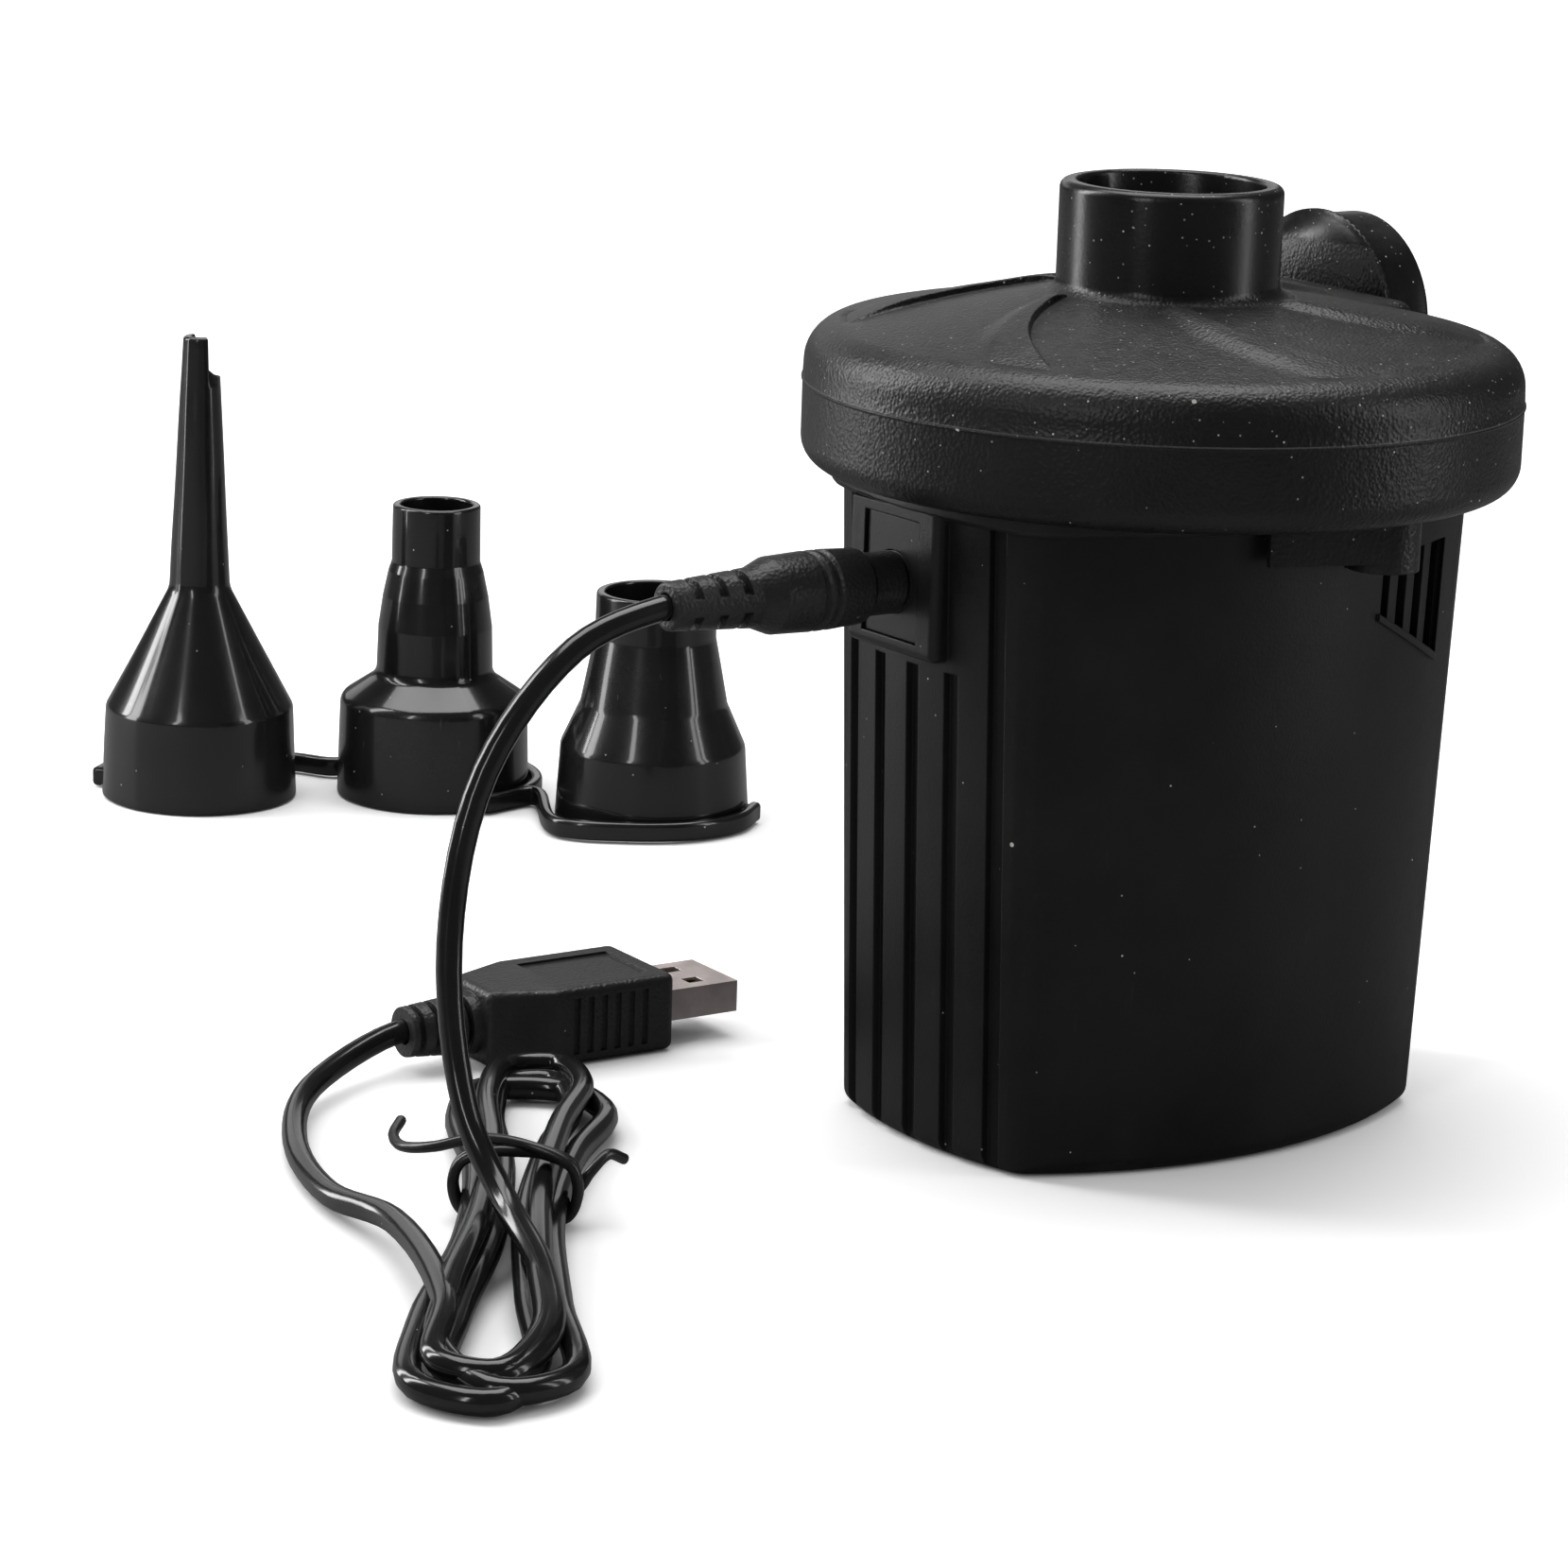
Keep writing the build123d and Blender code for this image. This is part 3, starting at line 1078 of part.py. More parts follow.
def round_cup(spot, angle, radius):
    """Point round a cup, angle in degrees from the u axis."""
    dx, dy, _ = place(radius * cos(radians(angle)), radius * sin(radians(angle)))
    return (spot[0] + dx, spot[1] + dy)


def strap(stations):
    path = Spline(*[(*round_cup(spot, angle, STRAP_R + out), STRAP_Z)
                    for spot, angle, out in stations])
    start = Plane(origin=path @ 0, z_dir=path % 0, x_dir=(0, 0, 1))
    return sweep(start * RectangleRounded(3.2, 1.9, 0.7), path=path)


def tab(spot, angle):
    """Small block that fills the gap between strap and cup."""
    inner, outer = round_cup(spot, angle, 16.0), round_cup(spot, angle, 17.6)
    heading = degrees(atan2(outer[1] - inner[1], outer[0] - inner[0]))
    return (Pos((inner[0] + outer[0]) / 2, (inner[1] + outer[1]) / 2, STRAP_Z)
            * Rot(0, 0, heading) * Box(2.0, 4.0, 2.4))


def adapter_tether():
    tether = strap(NEEDLE_STRAP) + strap(LARGE_STRAP)
    tether = tether + strap(MIDDLE_STRAP)
    for spot, angle in TABS:
        tether = tether + tab(spot, angle)
    needle_cup, medium_cup, large_cup = [stand_at(spot, cyl(CUP_R + 0.02, -1, 6))
                                         for spot in (NEEDLE_AT, MEDIUM_AT, LARGE_AT)]
    return tether - (needle_cup + medium_cup + large_cup)


# ---------------------------------------------------------------------------
# one STEP file for each piece, named after the function that builds it
# ---------------------------------------------------------------------------
PIECES = (
    body_shell, volute_base, top_cover, impeller,
    motor_can, motor_front_bearing, motor_end_cap, motor_rear_bearing, motor_shaft,
    armature_core, armature_windings, commutator, motor_magnets, magnet_clip,
    motor_brushes, motor_terminals, motor_screws, cover_screws, body_screws,
    jack_panel, dc_jack_housing, dc_jack_pin, dc_jack_terminals,
    switch_panel, switch_housing, switch_rocker, switch_terminals,
    wire_supply, wire_return, wire_switched,
    dc_plug_mould, dc_plug_barrel, dc_plug_core, usb_cable, twist_tie,
    usb_plug_mould, usb_shell, usb_tongue, usb_contacts,
    medium_adapter, large_adapter, needle_adapter, adapter_tether,
)

for build in PIECES:
    export_step(build(), f"parts/{build.__name__}.step")
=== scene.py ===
# Electric air pump: a round body with a domed head, a bundled USB lead and three soft nozzles
# joined by a tether. The pump stands on z = 0 around the z axis and its outlet duct points
# along +x. The lead leaves on the -x side and drops to the floor.
# Pieces are measured in mm and built in metres. The stage is measured in metres.
import json
import math
from math import sin, cos, pi, radians, atan2, hypot
import bpy
import bmesh
from mathutils import Vector, Matrix, noise

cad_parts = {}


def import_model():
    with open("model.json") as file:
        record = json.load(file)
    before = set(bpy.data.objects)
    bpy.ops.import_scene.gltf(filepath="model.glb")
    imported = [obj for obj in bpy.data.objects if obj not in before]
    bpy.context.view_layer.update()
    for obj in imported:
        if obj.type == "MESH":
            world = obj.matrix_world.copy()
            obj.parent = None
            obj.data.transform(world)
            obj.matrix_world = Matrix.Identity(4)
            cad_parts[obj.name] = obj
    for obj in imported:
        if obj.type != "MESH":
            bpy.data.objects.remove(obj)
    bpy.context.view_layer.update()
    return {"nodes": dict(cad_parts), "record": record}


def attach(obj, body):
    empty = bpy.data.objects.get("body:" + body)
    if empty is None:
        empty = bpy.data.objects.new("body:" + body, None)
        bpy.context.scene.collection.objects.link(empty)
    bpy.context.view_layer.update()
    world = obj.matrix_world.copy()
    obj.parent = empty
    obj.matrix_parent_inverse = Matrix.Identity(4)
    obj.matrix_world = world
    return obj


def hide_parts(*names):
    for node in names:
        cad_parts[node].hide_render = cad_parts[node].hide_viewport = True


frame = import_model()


MM = 0.001
UP = Vector((0, 0, 1))
NODES = frame["nodes"]
WHITE = (1, 1, 1, 1)

# ---------------------------------------------------------------- shader graph helpers


class Graph:
    """Short calls for building a node tree. Inputs take a value or a socket to link."""

    def __init__(self, tree):
        self.tree = tree

    def put(self, node, inputs):
        for key, value in inputs.items():
            socket = node.inputs[key]
            if isinstance(value, bpy.types.NodeSocket):
                self.tree.links.new(value, socket)
            elif socket.type == "RGBA" and len(value) == 3:
                socket.default_value = (*value, 1.0)
            else:
                socket.default_value = value

    def node(self, kind, inputs=None, **settings):
        made = self.tree.nodes.new("ShaderNode" + kind)
        for key, value in settings.items():
            setattr(made, key, value)
        self.put(made, inputs or {})
        return made

    def math(self, operation, *values, clamp=False):
        inputs = dict(enumerate(values))
        return self.node("Math", inputs, operation=operation, use_clamp=clamp).outputs[0]

    def mix(self, factor, first, second):
        return self.node("Mix", {0: factor, 6: first, 7: second}, data_type="RGBA").outputs[2]

    def ramp(self, factor, start, start_color, end, end_color):
        made = self.node("ValToRGB", {"Fac": factor})
        stops = ((start, start_color), (end, end_color))
        for element, (position, color) in zip(made.color_ramp.elements, stops):
            element.position = position
            element.color = (*color, 1.0)
        return made.outputs["Color"]

    def mask(self, factor, start, end):
        return self.ramp(factor, start, (0, 0, 0), end, (1, 1, 1))

    def noise(self, vector, scale, detail, roughness=0.5):
        inputs = {"Vector": vector, "Scale": scale, "Detail": detail, "Roughness": roughness}
        return self.node("TexNoise", inputs).outputs["Fac"]

    def xyz(self, vector):
        return self.node("SeparateXYZ", {"Vector": vector}).outputs

    def bevel(self, radius_mm):
        return self.node("Bevel", {"Radius": radius_mm * MM}, samples=6).outputs["Normal"]

    def bump(self, height, normal, strength, distance):
        inputs = {"Height": height, "Normal": normal, "Strength": strength, "Distance": distance}
        return self.node("Bump", inputs).outputs["Normal"]


def new_material(name):
    material = bpy.data.materials.new(name)
    material.use_nodes = True
    graph = Graph(material.node_tree)
    graph.tree.nodes.clear()
    output = graph.node("OutputMaterial")
    bsdf = graph.node("BsdfPrincipled")
    graph.put(output, {"Surface": bsdf.outputs["BSDF"]})
    return material, graph, bsdf


# ---------------------------------------------------------------- materials
MATS = {}


def tint(color, gain, lift=0.0):
    return tuple(min(1.0, c * gain + lift) for c in color)


def scuff_mask(g, position, mottle):
    """Fine tilted scratches, kept to the lighter patches of the mottle."""
    stretched = g.node("Mapping", {"Vector": position, "Scale": (1.0, 1.0, 0.12),
                                   "Rotation": (0.35, 0.2, 0.5)}).outputs["Vector"]
    scratches = g.mask(g.noise(stretched, scale=900.0, detail=2.0), start=0.70, end=0.76)
    return g.math("MULTIPLY", scratches, g.mask(mottle, start=0.5, end=0.7))


def speck_layer(g, position, scale, size, channel, share):
    """Round dots in the given share of the cells, picked by one channel of the cell colour."""
    cells = g.node("TexVoronoi", {"Vector": position, "Scale": scale, "Randomness": 1.0})
    dot = g.math("LESS_THAN", cells.outputs["Distance"], size)
    split = g.node("SeparateColor", {"Color": cells.outputs["Color"]})
    return g.math("MULTIPLY", dot, g.math("LESS_THAN", split.outputs[channel], share))


def speck_mask(g, position, share):
    """Dust specks in three sizes. The finest are fainter."""
    medium = speck_layer(g, position, scale=430.0, size=0.058, channel=0, share=share)
    large = speck_layer(g, position, scale=110.0, size=0.035, channel=1, share=share * 1.3)
    finest = speck_layer(g, position, scale=760.0, size=0.10, channel=2, share=share * 0.9)
    faintness = 0.55
    return g.math("MAXIMUM", g.math("MAXIMUM", medium, large),
                  g.math("MULTIPLY", finest, faintness))


def flash_mask(g, position, fine, height_mm):
    """Uneven thin line around the piece at one height."""
    half_width_mm, unevenness, least = 0.16, 0.8, 0.25
    offset = g.math("SUBTRACT", g.xyz(position)["Z"], height_mm * MM)
    line = g.math("LESS_THAN", g.math("ABSOLUTE", offset), half_width_mm * MM)
    return g.math("MULTIPLY", line, g.math("ADD", g.math("MULTIPLY", fine, unevenness), least))


def polish_mask(g, position, above_z, beyond_x):
    """One above a height or beyond an x, in mm, rising over a short distance."""
    place_xyz = g.xyz(position)
    rises = []
    for axis, start_mm, length_mm in (("Z", above_z, 0.8), ("X", beyond_x, 0.6)):
        past = g.math("SUBTRACT", place_xyz[axis], start_mm * MM)
        rises.append(g.math("DIVIDE", past, length_mm * MM, clamp=True))
    return g.math("MAXIMUM", *rises)


def grain_height(g, position, grain_mm):
    """Pebble grain: soft cells and a coarser noise."""
    cells = g.node("TexVoronoi", {"Vector": position, "Scale": 1.0 / (grain_mm * MM),
                                  "Smoothness": 0.6}, feature="SMOOTH_F1")
    coarse = g.noise(position, scale=1.0 / (grain_mm * 2.2 * MM), detail=3.0)
    cell_share, coarse_share = 0.7, 0.6
    return g.math("ADD", g.math("MULTIPLY", cells.outputs["Distance"], cell_share),
                  g.math("MULTIPLY", coarse, coarse_share))


def plastic(name, color, rough=0.42, grain=0.0, grain_mm=0.45, wave=0.0, specks=0.0, bevel=0.25,
            spec=0.5, coat=0.0, coat_rough=0.18, rough_var=0.08, scuff=0.0, painted_top_light=0.0,
            flash_z=None, polish=None):
    """Moulded plastic with mottled colour and gloss, worn edges and surface relief.

    grain, wave: strength of the pebble grain and of the broad mould waviness
    specks, scuff, painted_top_light: share of specks, strength of scratches and of painted top
    light on faces that point up
    flash_z: height of a pale flash line; polish: (z, x) above or beyond which it is smoother
    """
    material, g, bsdf = new_material(name)
    position = g.node("TexCoord").outputs["Object"]
    mottle = g.noise(position, scale=55.0, detail=4.0, roughness=0.6)
    fine = g.noise(position, scale=420.0, detail=3.0, roughness=0.55)
    base = g.ramp(mottle, start=0.30, start_color=tint(color, gain=0.78),
                  end=0.72, end_color=tint(color, gain=1.35, lift=0.002))
    fine_share, wear_share = 0.25, 0.35
    base = g.mix(g.math("MULTIPLY", fine, fine_share), base, tint(color, gain=1.5))

    # convex edges are worn lighter
    geometry = g.node("NewGeometry")
    edge = g.mask(geometry.outputs["Pointiness"], start=0.50, end=0.58)
    base = g.mix(g.math("MULTIPLY", edge, wear_share), base, tint(color, gain=2.0, lift=0.01))

    gloss = g.math("ADD", g.math("MULTIPLY", mottle, rough_var * 2), rough - rough_var)
    gloss = g.math("ADD", gloss, g.math("MULTIPLY", fine, rough_var))
    if scuff:
        marks = scuff_mask(g, position, mottle)
        base = g.mix(g.math("MULTIPLY", marks, scuff), base, (0.12, 0.12, 0.12))
    if specks:
        dots = speck_mask(g, position, specks)
        speck_cover, speck_rough = 0.75, 0.4
        base = g.mix(g.math("MULTIPLY", dots, speck_cover), base, (0.55, 0.55, 0.53))
        gloss = g.math("ADD", gloss, g.math("MULTIPLY", dots, speck_rough))
    # painted top light: faces that point up are lightened towards grey in fine noise, standing in
    # for light from above
    if painted_top_light:
        least_slope = 0.6
        facing = g.xyz(geometry.outputs["Normal"])["Z"]
        top_light_mask = g.math("MULTIPLY", g.math("SUBTRACT", facing, least_slope, clamp=True), fine)
        base = g.mix(g.math("MULTIPLY", top_light_mask, painted_top_light), base, (0.30, 0.30, 0.29))
    if flash_z is not None:
        base = g.mix(flash_mask(g, position, fine, flash_z), base, (0.085, 0.085, 0.083))

    grain_strength = grain
    if polish is not None:
        smooth = polish_mask(g, position, *polish)
        rough_loss, grain_loss = 0.13, 0.9
        gloss = g.math("SUBTRACT", gloss, g.math("MULTIPLY", smooth, rough_loss))
        kept = g.math("SUBTRACT", 1.0, g.math("MULTIPLY", smooth, grain_loss))
        grain_strength = g.math("MULTIPLY", kept, grain)

    normal = g.bevel(bevel)
    if wave:
        swell = g.noise(position, scale=38.0, detail=1.0)
        normal = g.bump(swell, normal, strength=wave, distance=0.0016)
    if grain:
        height = grain_height(g, position, grain_mm)
        normal = g.bump(height, normal, strength=grain_strength, distance=0.00012)
    g.put(bsdf, {"Base Color": base, "Roughness": gloss, "Specular IOR Level": spec,
                 "Normal": normal})
    if coat:
        g.put(bsdf, {"Coat Weight": coat, "Coat Roughness": coat_rough})
    MATS[name] = material


def metal(name, color, rough=0.3, brush=0.3, stretch=(1, 1, 25), tarnish=0.3):
    """Brushed metal. stretch scales the brushing noise along each axis."""
    material, g, bsdf = new_material(name)
    position = g.node("TexCoord").outputs["Object"]
    stretched = g.node("Mapping", {"Vector": position, "Scale": stretch}).outputs["Vector"]
    brushing = g.noise(stretched, scale=300.0, detail=4.0)
    patches = g.noise(position, scale=160.0, detail=4.0)
    base = g.ramp(patches, start=0.3, start_color=tint(color, gain=1 - tarnish),
                  end=0.7, end_color=color)
    rough_spread, rough_drop = 0.25, 0.12
    gloss = g.math("ADD", g.math("MULTIPLY", brushing, rough_spread), rough - rough_drop)
    normal = g.bump(brushing, g.bevel(0.12), strength=brush, distance=0.00004)
    g.put(bsdf, {"Base Color": base, "Metallic": 1.0, "Roughness": gloss, "Normal": normal})
    MATS[name] = material


plastic("pump_body", (0.0046, 0.0046, 0.0048), rough=0.36, grain=0.16, grain_mm=0.35,
        wave=0.12, specks=0.04, bevel=0.3, spec=0.30, scuff=0.10)
plastic("head_base", (0.0050, 0.0050, 0.0052), rough=0.36, grain=1.0, grain_mm=0.48,
        wave=0.06, specks=0.30, bevel=0.3, spec=0.40, scuff=0.12)
# the cover's upward faces carry painted top light, which brightens the lid
plastic("head_cover", (0.0052, 0.0052, 0.0054), rough=0.36, grain=1.0, grain_mm=0.48,
        wave=0.06, specks=0.75, bevel=0.35, spec=0.44, scuff=0.15, painted_top_light=0.30,
        flash_z=98.7, polish=(111.9, 49.8))  # polished on the two spigots
plastic("panel", (0.0048, 0.0048, 0.0050), rough=0.34, grain=0.10, grain_mm=0.3,
        specks=0.08, bevel=0.2, spec=0.30)
plastic("impeller", (0.02, 0.02, 0.021), rough=0.38, grain=0.05, specks=0.08, bevel=0.2)
metal("motor_steel", (0.62, 0.62, 0.63), rough=0.32, stretch=(8, 8, 1))
metal("shaft_steel", (0.70, 0.70, 0.72), rough=0.2)
metal("laminations", (0.33, 0.34, 0.36), rough=0.42, stretch=(1, 1, 30))
metal("copper", (0.72, 0.33, 0.16), rough=0.3)
metal("bearing_bronze", (0.62, 0.44, 0.25), rough=0.42)
plastic("magnet", (0.03, 0.03, 0.032), rough=0.55, grain=0.2, grain_mm=0.3)
plastic("carbon", (0.025, 0.025, 0.027), rough=0.5, grain=0.2, grain_mm=0.2)
plastic("motor_plastic", (0.55, 0.54, 0.50), rough=0.45, grain=0.05)
metal("screw_steel", (0.50, 0.50, 0.52), rough=0.32)
plastic("jack_plastic", (0.008, 0.008, 0.008), rough=0.45, grain=0.1, grain_mm=0.3)
metal("contact_metal", (0.75, 0.75, 0.74), rough=0.2)
plastic("rocker", (0.010, 0.010, 0.0105), rough=0.22, specks=0.03, bevel=0.3, coat=0.4)
plastic("wire_red", (0.45, 0.03, 0.02), rough=0.35)
plastic("wire_black", (0.012, 0.012, 0.012), rough=0.35)
plastic("lead_jacket", (0.0060, 0.0060, 0.0062), rough=0.16, wave=0.05, grain=0.04,
        grain_mm=0.5, specks=0.02, bevel=0.1, spec=0.35, coat=0.45, coat_rough=0.09,
        rough_var=0.04)
plastic("plug_mould", (0.0130, 0.0130, 0.0132), rough=0.36, grain=0.9, grain_mm=0.50,
        specks=0.04, bevel=0.25, spec=0.40)
plastic("tie", (0.010, 0.010, 0.010), rough=0.22, wave=0.1, grain=0.1)
metal("usb_steel", (0.86, 0.76, 0.74), rough=0.46, brush=0.25, stretch=(1, 1, 1), tarnish=0.35)
plastic("usb_insulator", (0.02, 0.02, 0.02), rough=0.45)
metal("gold", (0.83, 0.60, 0.26), rough=0.22)
plastic("nozzle", (0.0060, 0.0060, 0.0062), rough=0.20, wave=0.30, grain=0.05, grain_mm=0.6,
        specks=0.05, bevel=0.25, spec=0.35, scuff=0.35, coat=0.7, coat_rough=0.08)

# ---------------------------------------------------------------- mesh helpers
TURN = radians(40.0)


def place(u, v, z=0.0):
    """Point from the turned floor axes: u is +x turned 40 degrees towards -y, v is +y likewise."""
    return Vector((u * cos(TURN) + v * sin(TURN), -u * sin(TURN) + v * cos(TURN), z))


def smoothstep(t):
    return t * t * (3 - 2 * t)


def add_object(name, data):
    made = bpy.data.objects.new(name, data)
    bpy.context.scene.collection.objects.link(made)
    return made


def shade_smooth(mesh, sharp_degrees):
    for polygon in mesh.polygons:
        polygon.use_smooth = True
    mesh.set_sharp_from_angle(angle=radians(sharp_degrees))


def add_mesh(name, verts, faces, slot, body, sharp_degrees):
    """Object from vertices in mm, with its material, riding on a body."""
    mesh = bpy.data.meshes.new(name)
    mesh.from_pydata([tuple(c * MM for c in vert) for vert in verts], [], faces)
    mesh.validate()
    bm = bmesh.new()
    bm.from_mesh(mesh)
    bmesh.ops.recalc_face_normals(bm, faces=bm.faces)
    bm.to_mesh(mesh)
    bm.free()
    shade_smooth(mesh, sharp_degrees)
    made = add_object(name, mesh)
    mesh.materials.append(MATS[slot])
    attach(made, body)
    return made


def round_profile(points, steps=7):
    """Closed outline of (radius, z[, corner radius]) with its corners rounded."""
    outline = []
    for i, point in enumerate(points):
        before, after = points[i - 1], points[(i + 1) % len(points)]
        if len(point) < 3:
            outline.append(point)
            continue
        corner = Vector(point[:2])
        back = Vector((before[0] - point[0], before[1] - point[1]))
        ahead = Vector((after[0] - point[0], after[1] - point[1]))
        back_length, ahead_length = back.length, ahead.length
        back.normalize()
        ahead.normalize()
        half = 0.5 * math.acos(max(-1, min(1, back.dot(ahead))))
        # a fillet takes at most 0.48 of either side
        trim = min(point[2] / math.tan(half), 0.48 * back_length, 0.48 * ahead_length)
        radius = trim * math.tan(half)
        centre = corner + (back + ahead).normalized() * (radius / sin(half))
        start = corner + back * trim
        end = corner + ahead * trim
        start_angle = atan2(start.y - centre.y, start.x - centre.x)
        end_angle = atan2(end.y - centre.y, end.x - centre.x)
        sweep = (end_angle - start_angle + pi) % (2 * pi) - pi
        for k in range(steps + 1):
            angle = start_angle + sweep * k / steps
            outline.append((centre.x + radius * cos(angle), centre.y + radius * sin(angle)))
    return outline


def split_long(outline, longest):
    """Divides the sides of a closed outline into steps of about the longest length."""
    points = []
    for i, a in enumerate(outline):
        b = outline[(i + 1) % len(outline)]
        parts = max(1, int(hypot(b[0] - a[0], b[1] - a[1]) / longest))
        for k in range(parts):
            points.append((a[0] + (b[0] - a[0]) * k / parts, a[1] + (b[1] - a[1]) * k / parts))
    return points


def catmull(points, per):
    """Open centripetal Catmull-Rom curve through the points, with per steps between two."""
    points = [Vector(p) for p in points]
    points = [points[0] * 2 - points[1], *points, points[-1] * 2 - points[-2]]
    curve = []
    for i in range(len(points) - 3):
        p0, p1, p2, p3 = points[i:i + 4]
        t0 = 0.0
        t1 = t0 + (p1 - p0).length ** 0.5
        t2 = t1 + (p2 - p1).length ** 0.5
        t3 = t2 + (p3 - p2).length ** 0.5
        for k in range(per):
            t = t1 + (t2 - t1) * k / per
            a1 = p0 * ((t1 - t) / (t1 - t0)) + p1 * ((t - t0) / (t1 - t0))
            a2 = p1 * ((t2 - t) / (t2 - t1)) + p2 * ((t - t1) / (t2 - t1))
            a3 = p2 * ((t3 - t) / (t3 - t2)) + p3 * ((t - t2) / (t3 - t2))
            b1 = a1 * ((t2 - t) / (t2 - t0)) + a2 * ((t - t0) / (t2 - t0))
            b2 = a2 * ((t3 - t) / (t3 - t1)) + a3 * ((t - t1) / (t3 - t1))
            curve.append(b1 * ((t2 - t) / (t2 - t1)) + b2 * ((t - t1) / (t2 - t1)))
    curve.append(points[-2])
    return curve


def circle(radius, segments):
    angles = [2 * pi * k / segments for k in range(segments)]
    return [(radius * cos(a), radius * sin(a)) for a in angles]


def rounded_box(height, width, radius, steps=4):
    points = []
    for side_h, side_w, first in ((1, 1, 0), (-1, 1, 90), (-1, -1, 180), (1, -1, 270)):
        for i in range(steps + 1):
            angle = radians(first + 90 * i / steps)
            points.append((side_h * (height / 2 - radius) + radius * cos(angle),
                           side_w * (width / 2 - radius) + radius * sin(angle)))
    return points


def sweep_section(name, path, section, slot, body, upright=False):
    """Capped sweep of a section. It follows the path without twist, or stays upright."""
    path = [Vector(p) for p in path]
    count, size = len(path), len(section)
    verts, faces = [], []
    normal = UP
    for i, point in enumerate(path):
        tangent = (path[min(i + 1, count - 1)] - path[max(i - 1, 0)]).normalized()
        if upright:
            normal = UP
        normal = (normal - tangent * normal.dot(tangent)).normalized()
        across = tangent.cross(normal)
        verts += [tuple(point + normal * a + across * b) for a, b in section]
    for i in range(count - 1):
        for k in range(size):
            n = (k + 1) % size
            faces.append((i * size + k, i * size + n, (i + 1) * size + n, (i + 1) * size + k))
    faces.append(tuple(range(size - 1, -1, -1)))
    faces.append(tuple((count - 1) * size + k for k in range(size)))
    return add_mesh(name, verts, faces, slot, body, sharp_degrees=40.0)


# ---------------------------------------------------------------- CAD pieces that stay
SLOT_OF = {part["node"]: part["material_slot"] for part in frame["record"]["subparts"]}
CAD_SHARP = 24
for node_name, cad_piece in NODES.items():
    cad_piece.data.materials.clear()
    cad_piece.data.materials.append(MATS[SLOT_OF[node_name]])
    shade_smooth(cad_piece.data, CAD_SHARP)

# ---------------------------------------------------------------- nozzles
NOZZLE_PITCH = 38.0
MEDIUM_U, MEDIUM_V, OUTER_V = -119.0, 152.0, 143.0
NEEDLE_AT = place(MEDIUM_U - NOZZLE_PITCH, OUTER_V)
MEDIUM_AT = place(MEDIUM_U, MEDIUM_V)
LARGE_AT = place(MEDIUM_U + NOZZLE_PITCH, OUTER_V)
BORE_R = 14.82
TIP_CUT_Z = 70.2
TIP_CUT_X = -0.2   # from the needle's axis

# outlines of (radius, z[, corner radius]): the foot, then up the outside and down the bore
FOOT = [(BORE_R, 0.2, 0.3), (BORE_R + 0.5, 0.0, 0.2), (16.1, 0.0, 0.5)]
MEDIUM_OUTLINE = FOOT + [
    (15.65, 16.6, 2.2), (9.75, 20.6, 2.4), (9.55, 28.6, 2.2), (8.8, 33.8, 2.6),
    (7.9, 38.0, 2.0), (7.35, 39.6, 1.2), (7.25, 49.2, 0.5),
    (5.9, 49.2, 0.4), (6.2, 38.6, 1.5), (8.1, 28.0, 1.5), (8.1, 21.2, 1.5),
    (14.2, 16.4, 1.5), (BORE_R, 13.5)]
LARGE_OUTLINE = FOOT + [
    (15.35, 12.4, 3.0), (12.2, 19.4, 4.0), (9.95, 30.6, 4.0), (9.85, 38.0, 0.5),
    (8.4, 38.0, 0.4), (8.5, 31.0), (10.7, 19.0, 2.0), (14.0, 12.8, 1.5), (BORE_R, 11.5)]
NEEDLE_OUTLINE = FOOT + [
    (15.5, 15.2, 2.4), (5.0, 35.2, 5.0), (2.9, 77.0, 0.6),
    (1.5, 77.0, 0.3), (3.3, 36.0, 2.5), (14.0, 15.6, 1.5), (BORE_R, 12.5)]


def soft_radius(r, z, angle, seed):
    """Radius with slight out-of-roundness and two opposite moulding lines."""
    bulge = 0.12 * noise.noise(Vector((cos(angle) * 1.3 + seed, sin(angle) * 1.3, z * 0.06)))
    for line in (0.4 + seed, 0.4 + seed + pi):
        away = (angle - line + pi) % (2 * pi) - pi
        bulge += 0.09 * math.exp(-(away * r / 0.35) ** 2)
    return r + bulge


def nozzle(name, outline, centre, seed, longest=3.0, segments=120):
    """Turned nozzle standing at centre. longest limits the steps along its outline."""
    outline = split_long(round_profile(outline), longest)
    size = len(outline)
    verts, faces = [], []
    for j in range(segments):
        angle = 2 * pi * j / segments
        k = (j + 1) % segments
        for i, (r, z) in enumerate(outline):
            radius = soft_radius(r, z, angle, seed)
            verts.append((centre[0] + radius * cos(angle), centre[1] + radius * sin(angle), z))
            n = (i + 1) % size
            faces.append((j * size + i, k * size + i, k * size + n, j * size + n))
    return add_mesh(name, verts, faces, "nozzle", "nozzle_set", sharp_degrees=35.0)


def cut_tip(needle):
    """Cuts the +x side of the needle's tip away."""
    cut_z = TIP_CUT_Z * MM
    axis = NEEDLE_AT * MM
    cut_x = axis.x + TIP_CUT_X * MM
    bm = bmesh.new()
    bm.from_mesh(needle.data)
    for point, direction in (((0, 0, cut_z), (0, 0, 1)), ((cut_x, axis.y, 0), (1, 0, 0))):
        geometry = bm.verts[:] + bm.edges[:] + bm.faces[:]
        bmesh.ops.bisect_plane(bm, geom=geometry, plane_co=point, plane_no=direction)
    cut = []
    for face in bm.faces:
        middle = face.calc_center_median()
        if middle.z > cut_z and middle.x > cut_x:
            cut.append(face)
    bmesh.ops.delete(bm, geom=cut, context="FACES")
    bmesh.ops.holes_fill(bm, edges=[e for e in bm.edges if e.is_boundary], sides=0)
    bmesh.ops.recalc_face_normals(bm, faces=bm.faces)
    bm.to_mesh(needle.data)
    bm.free()


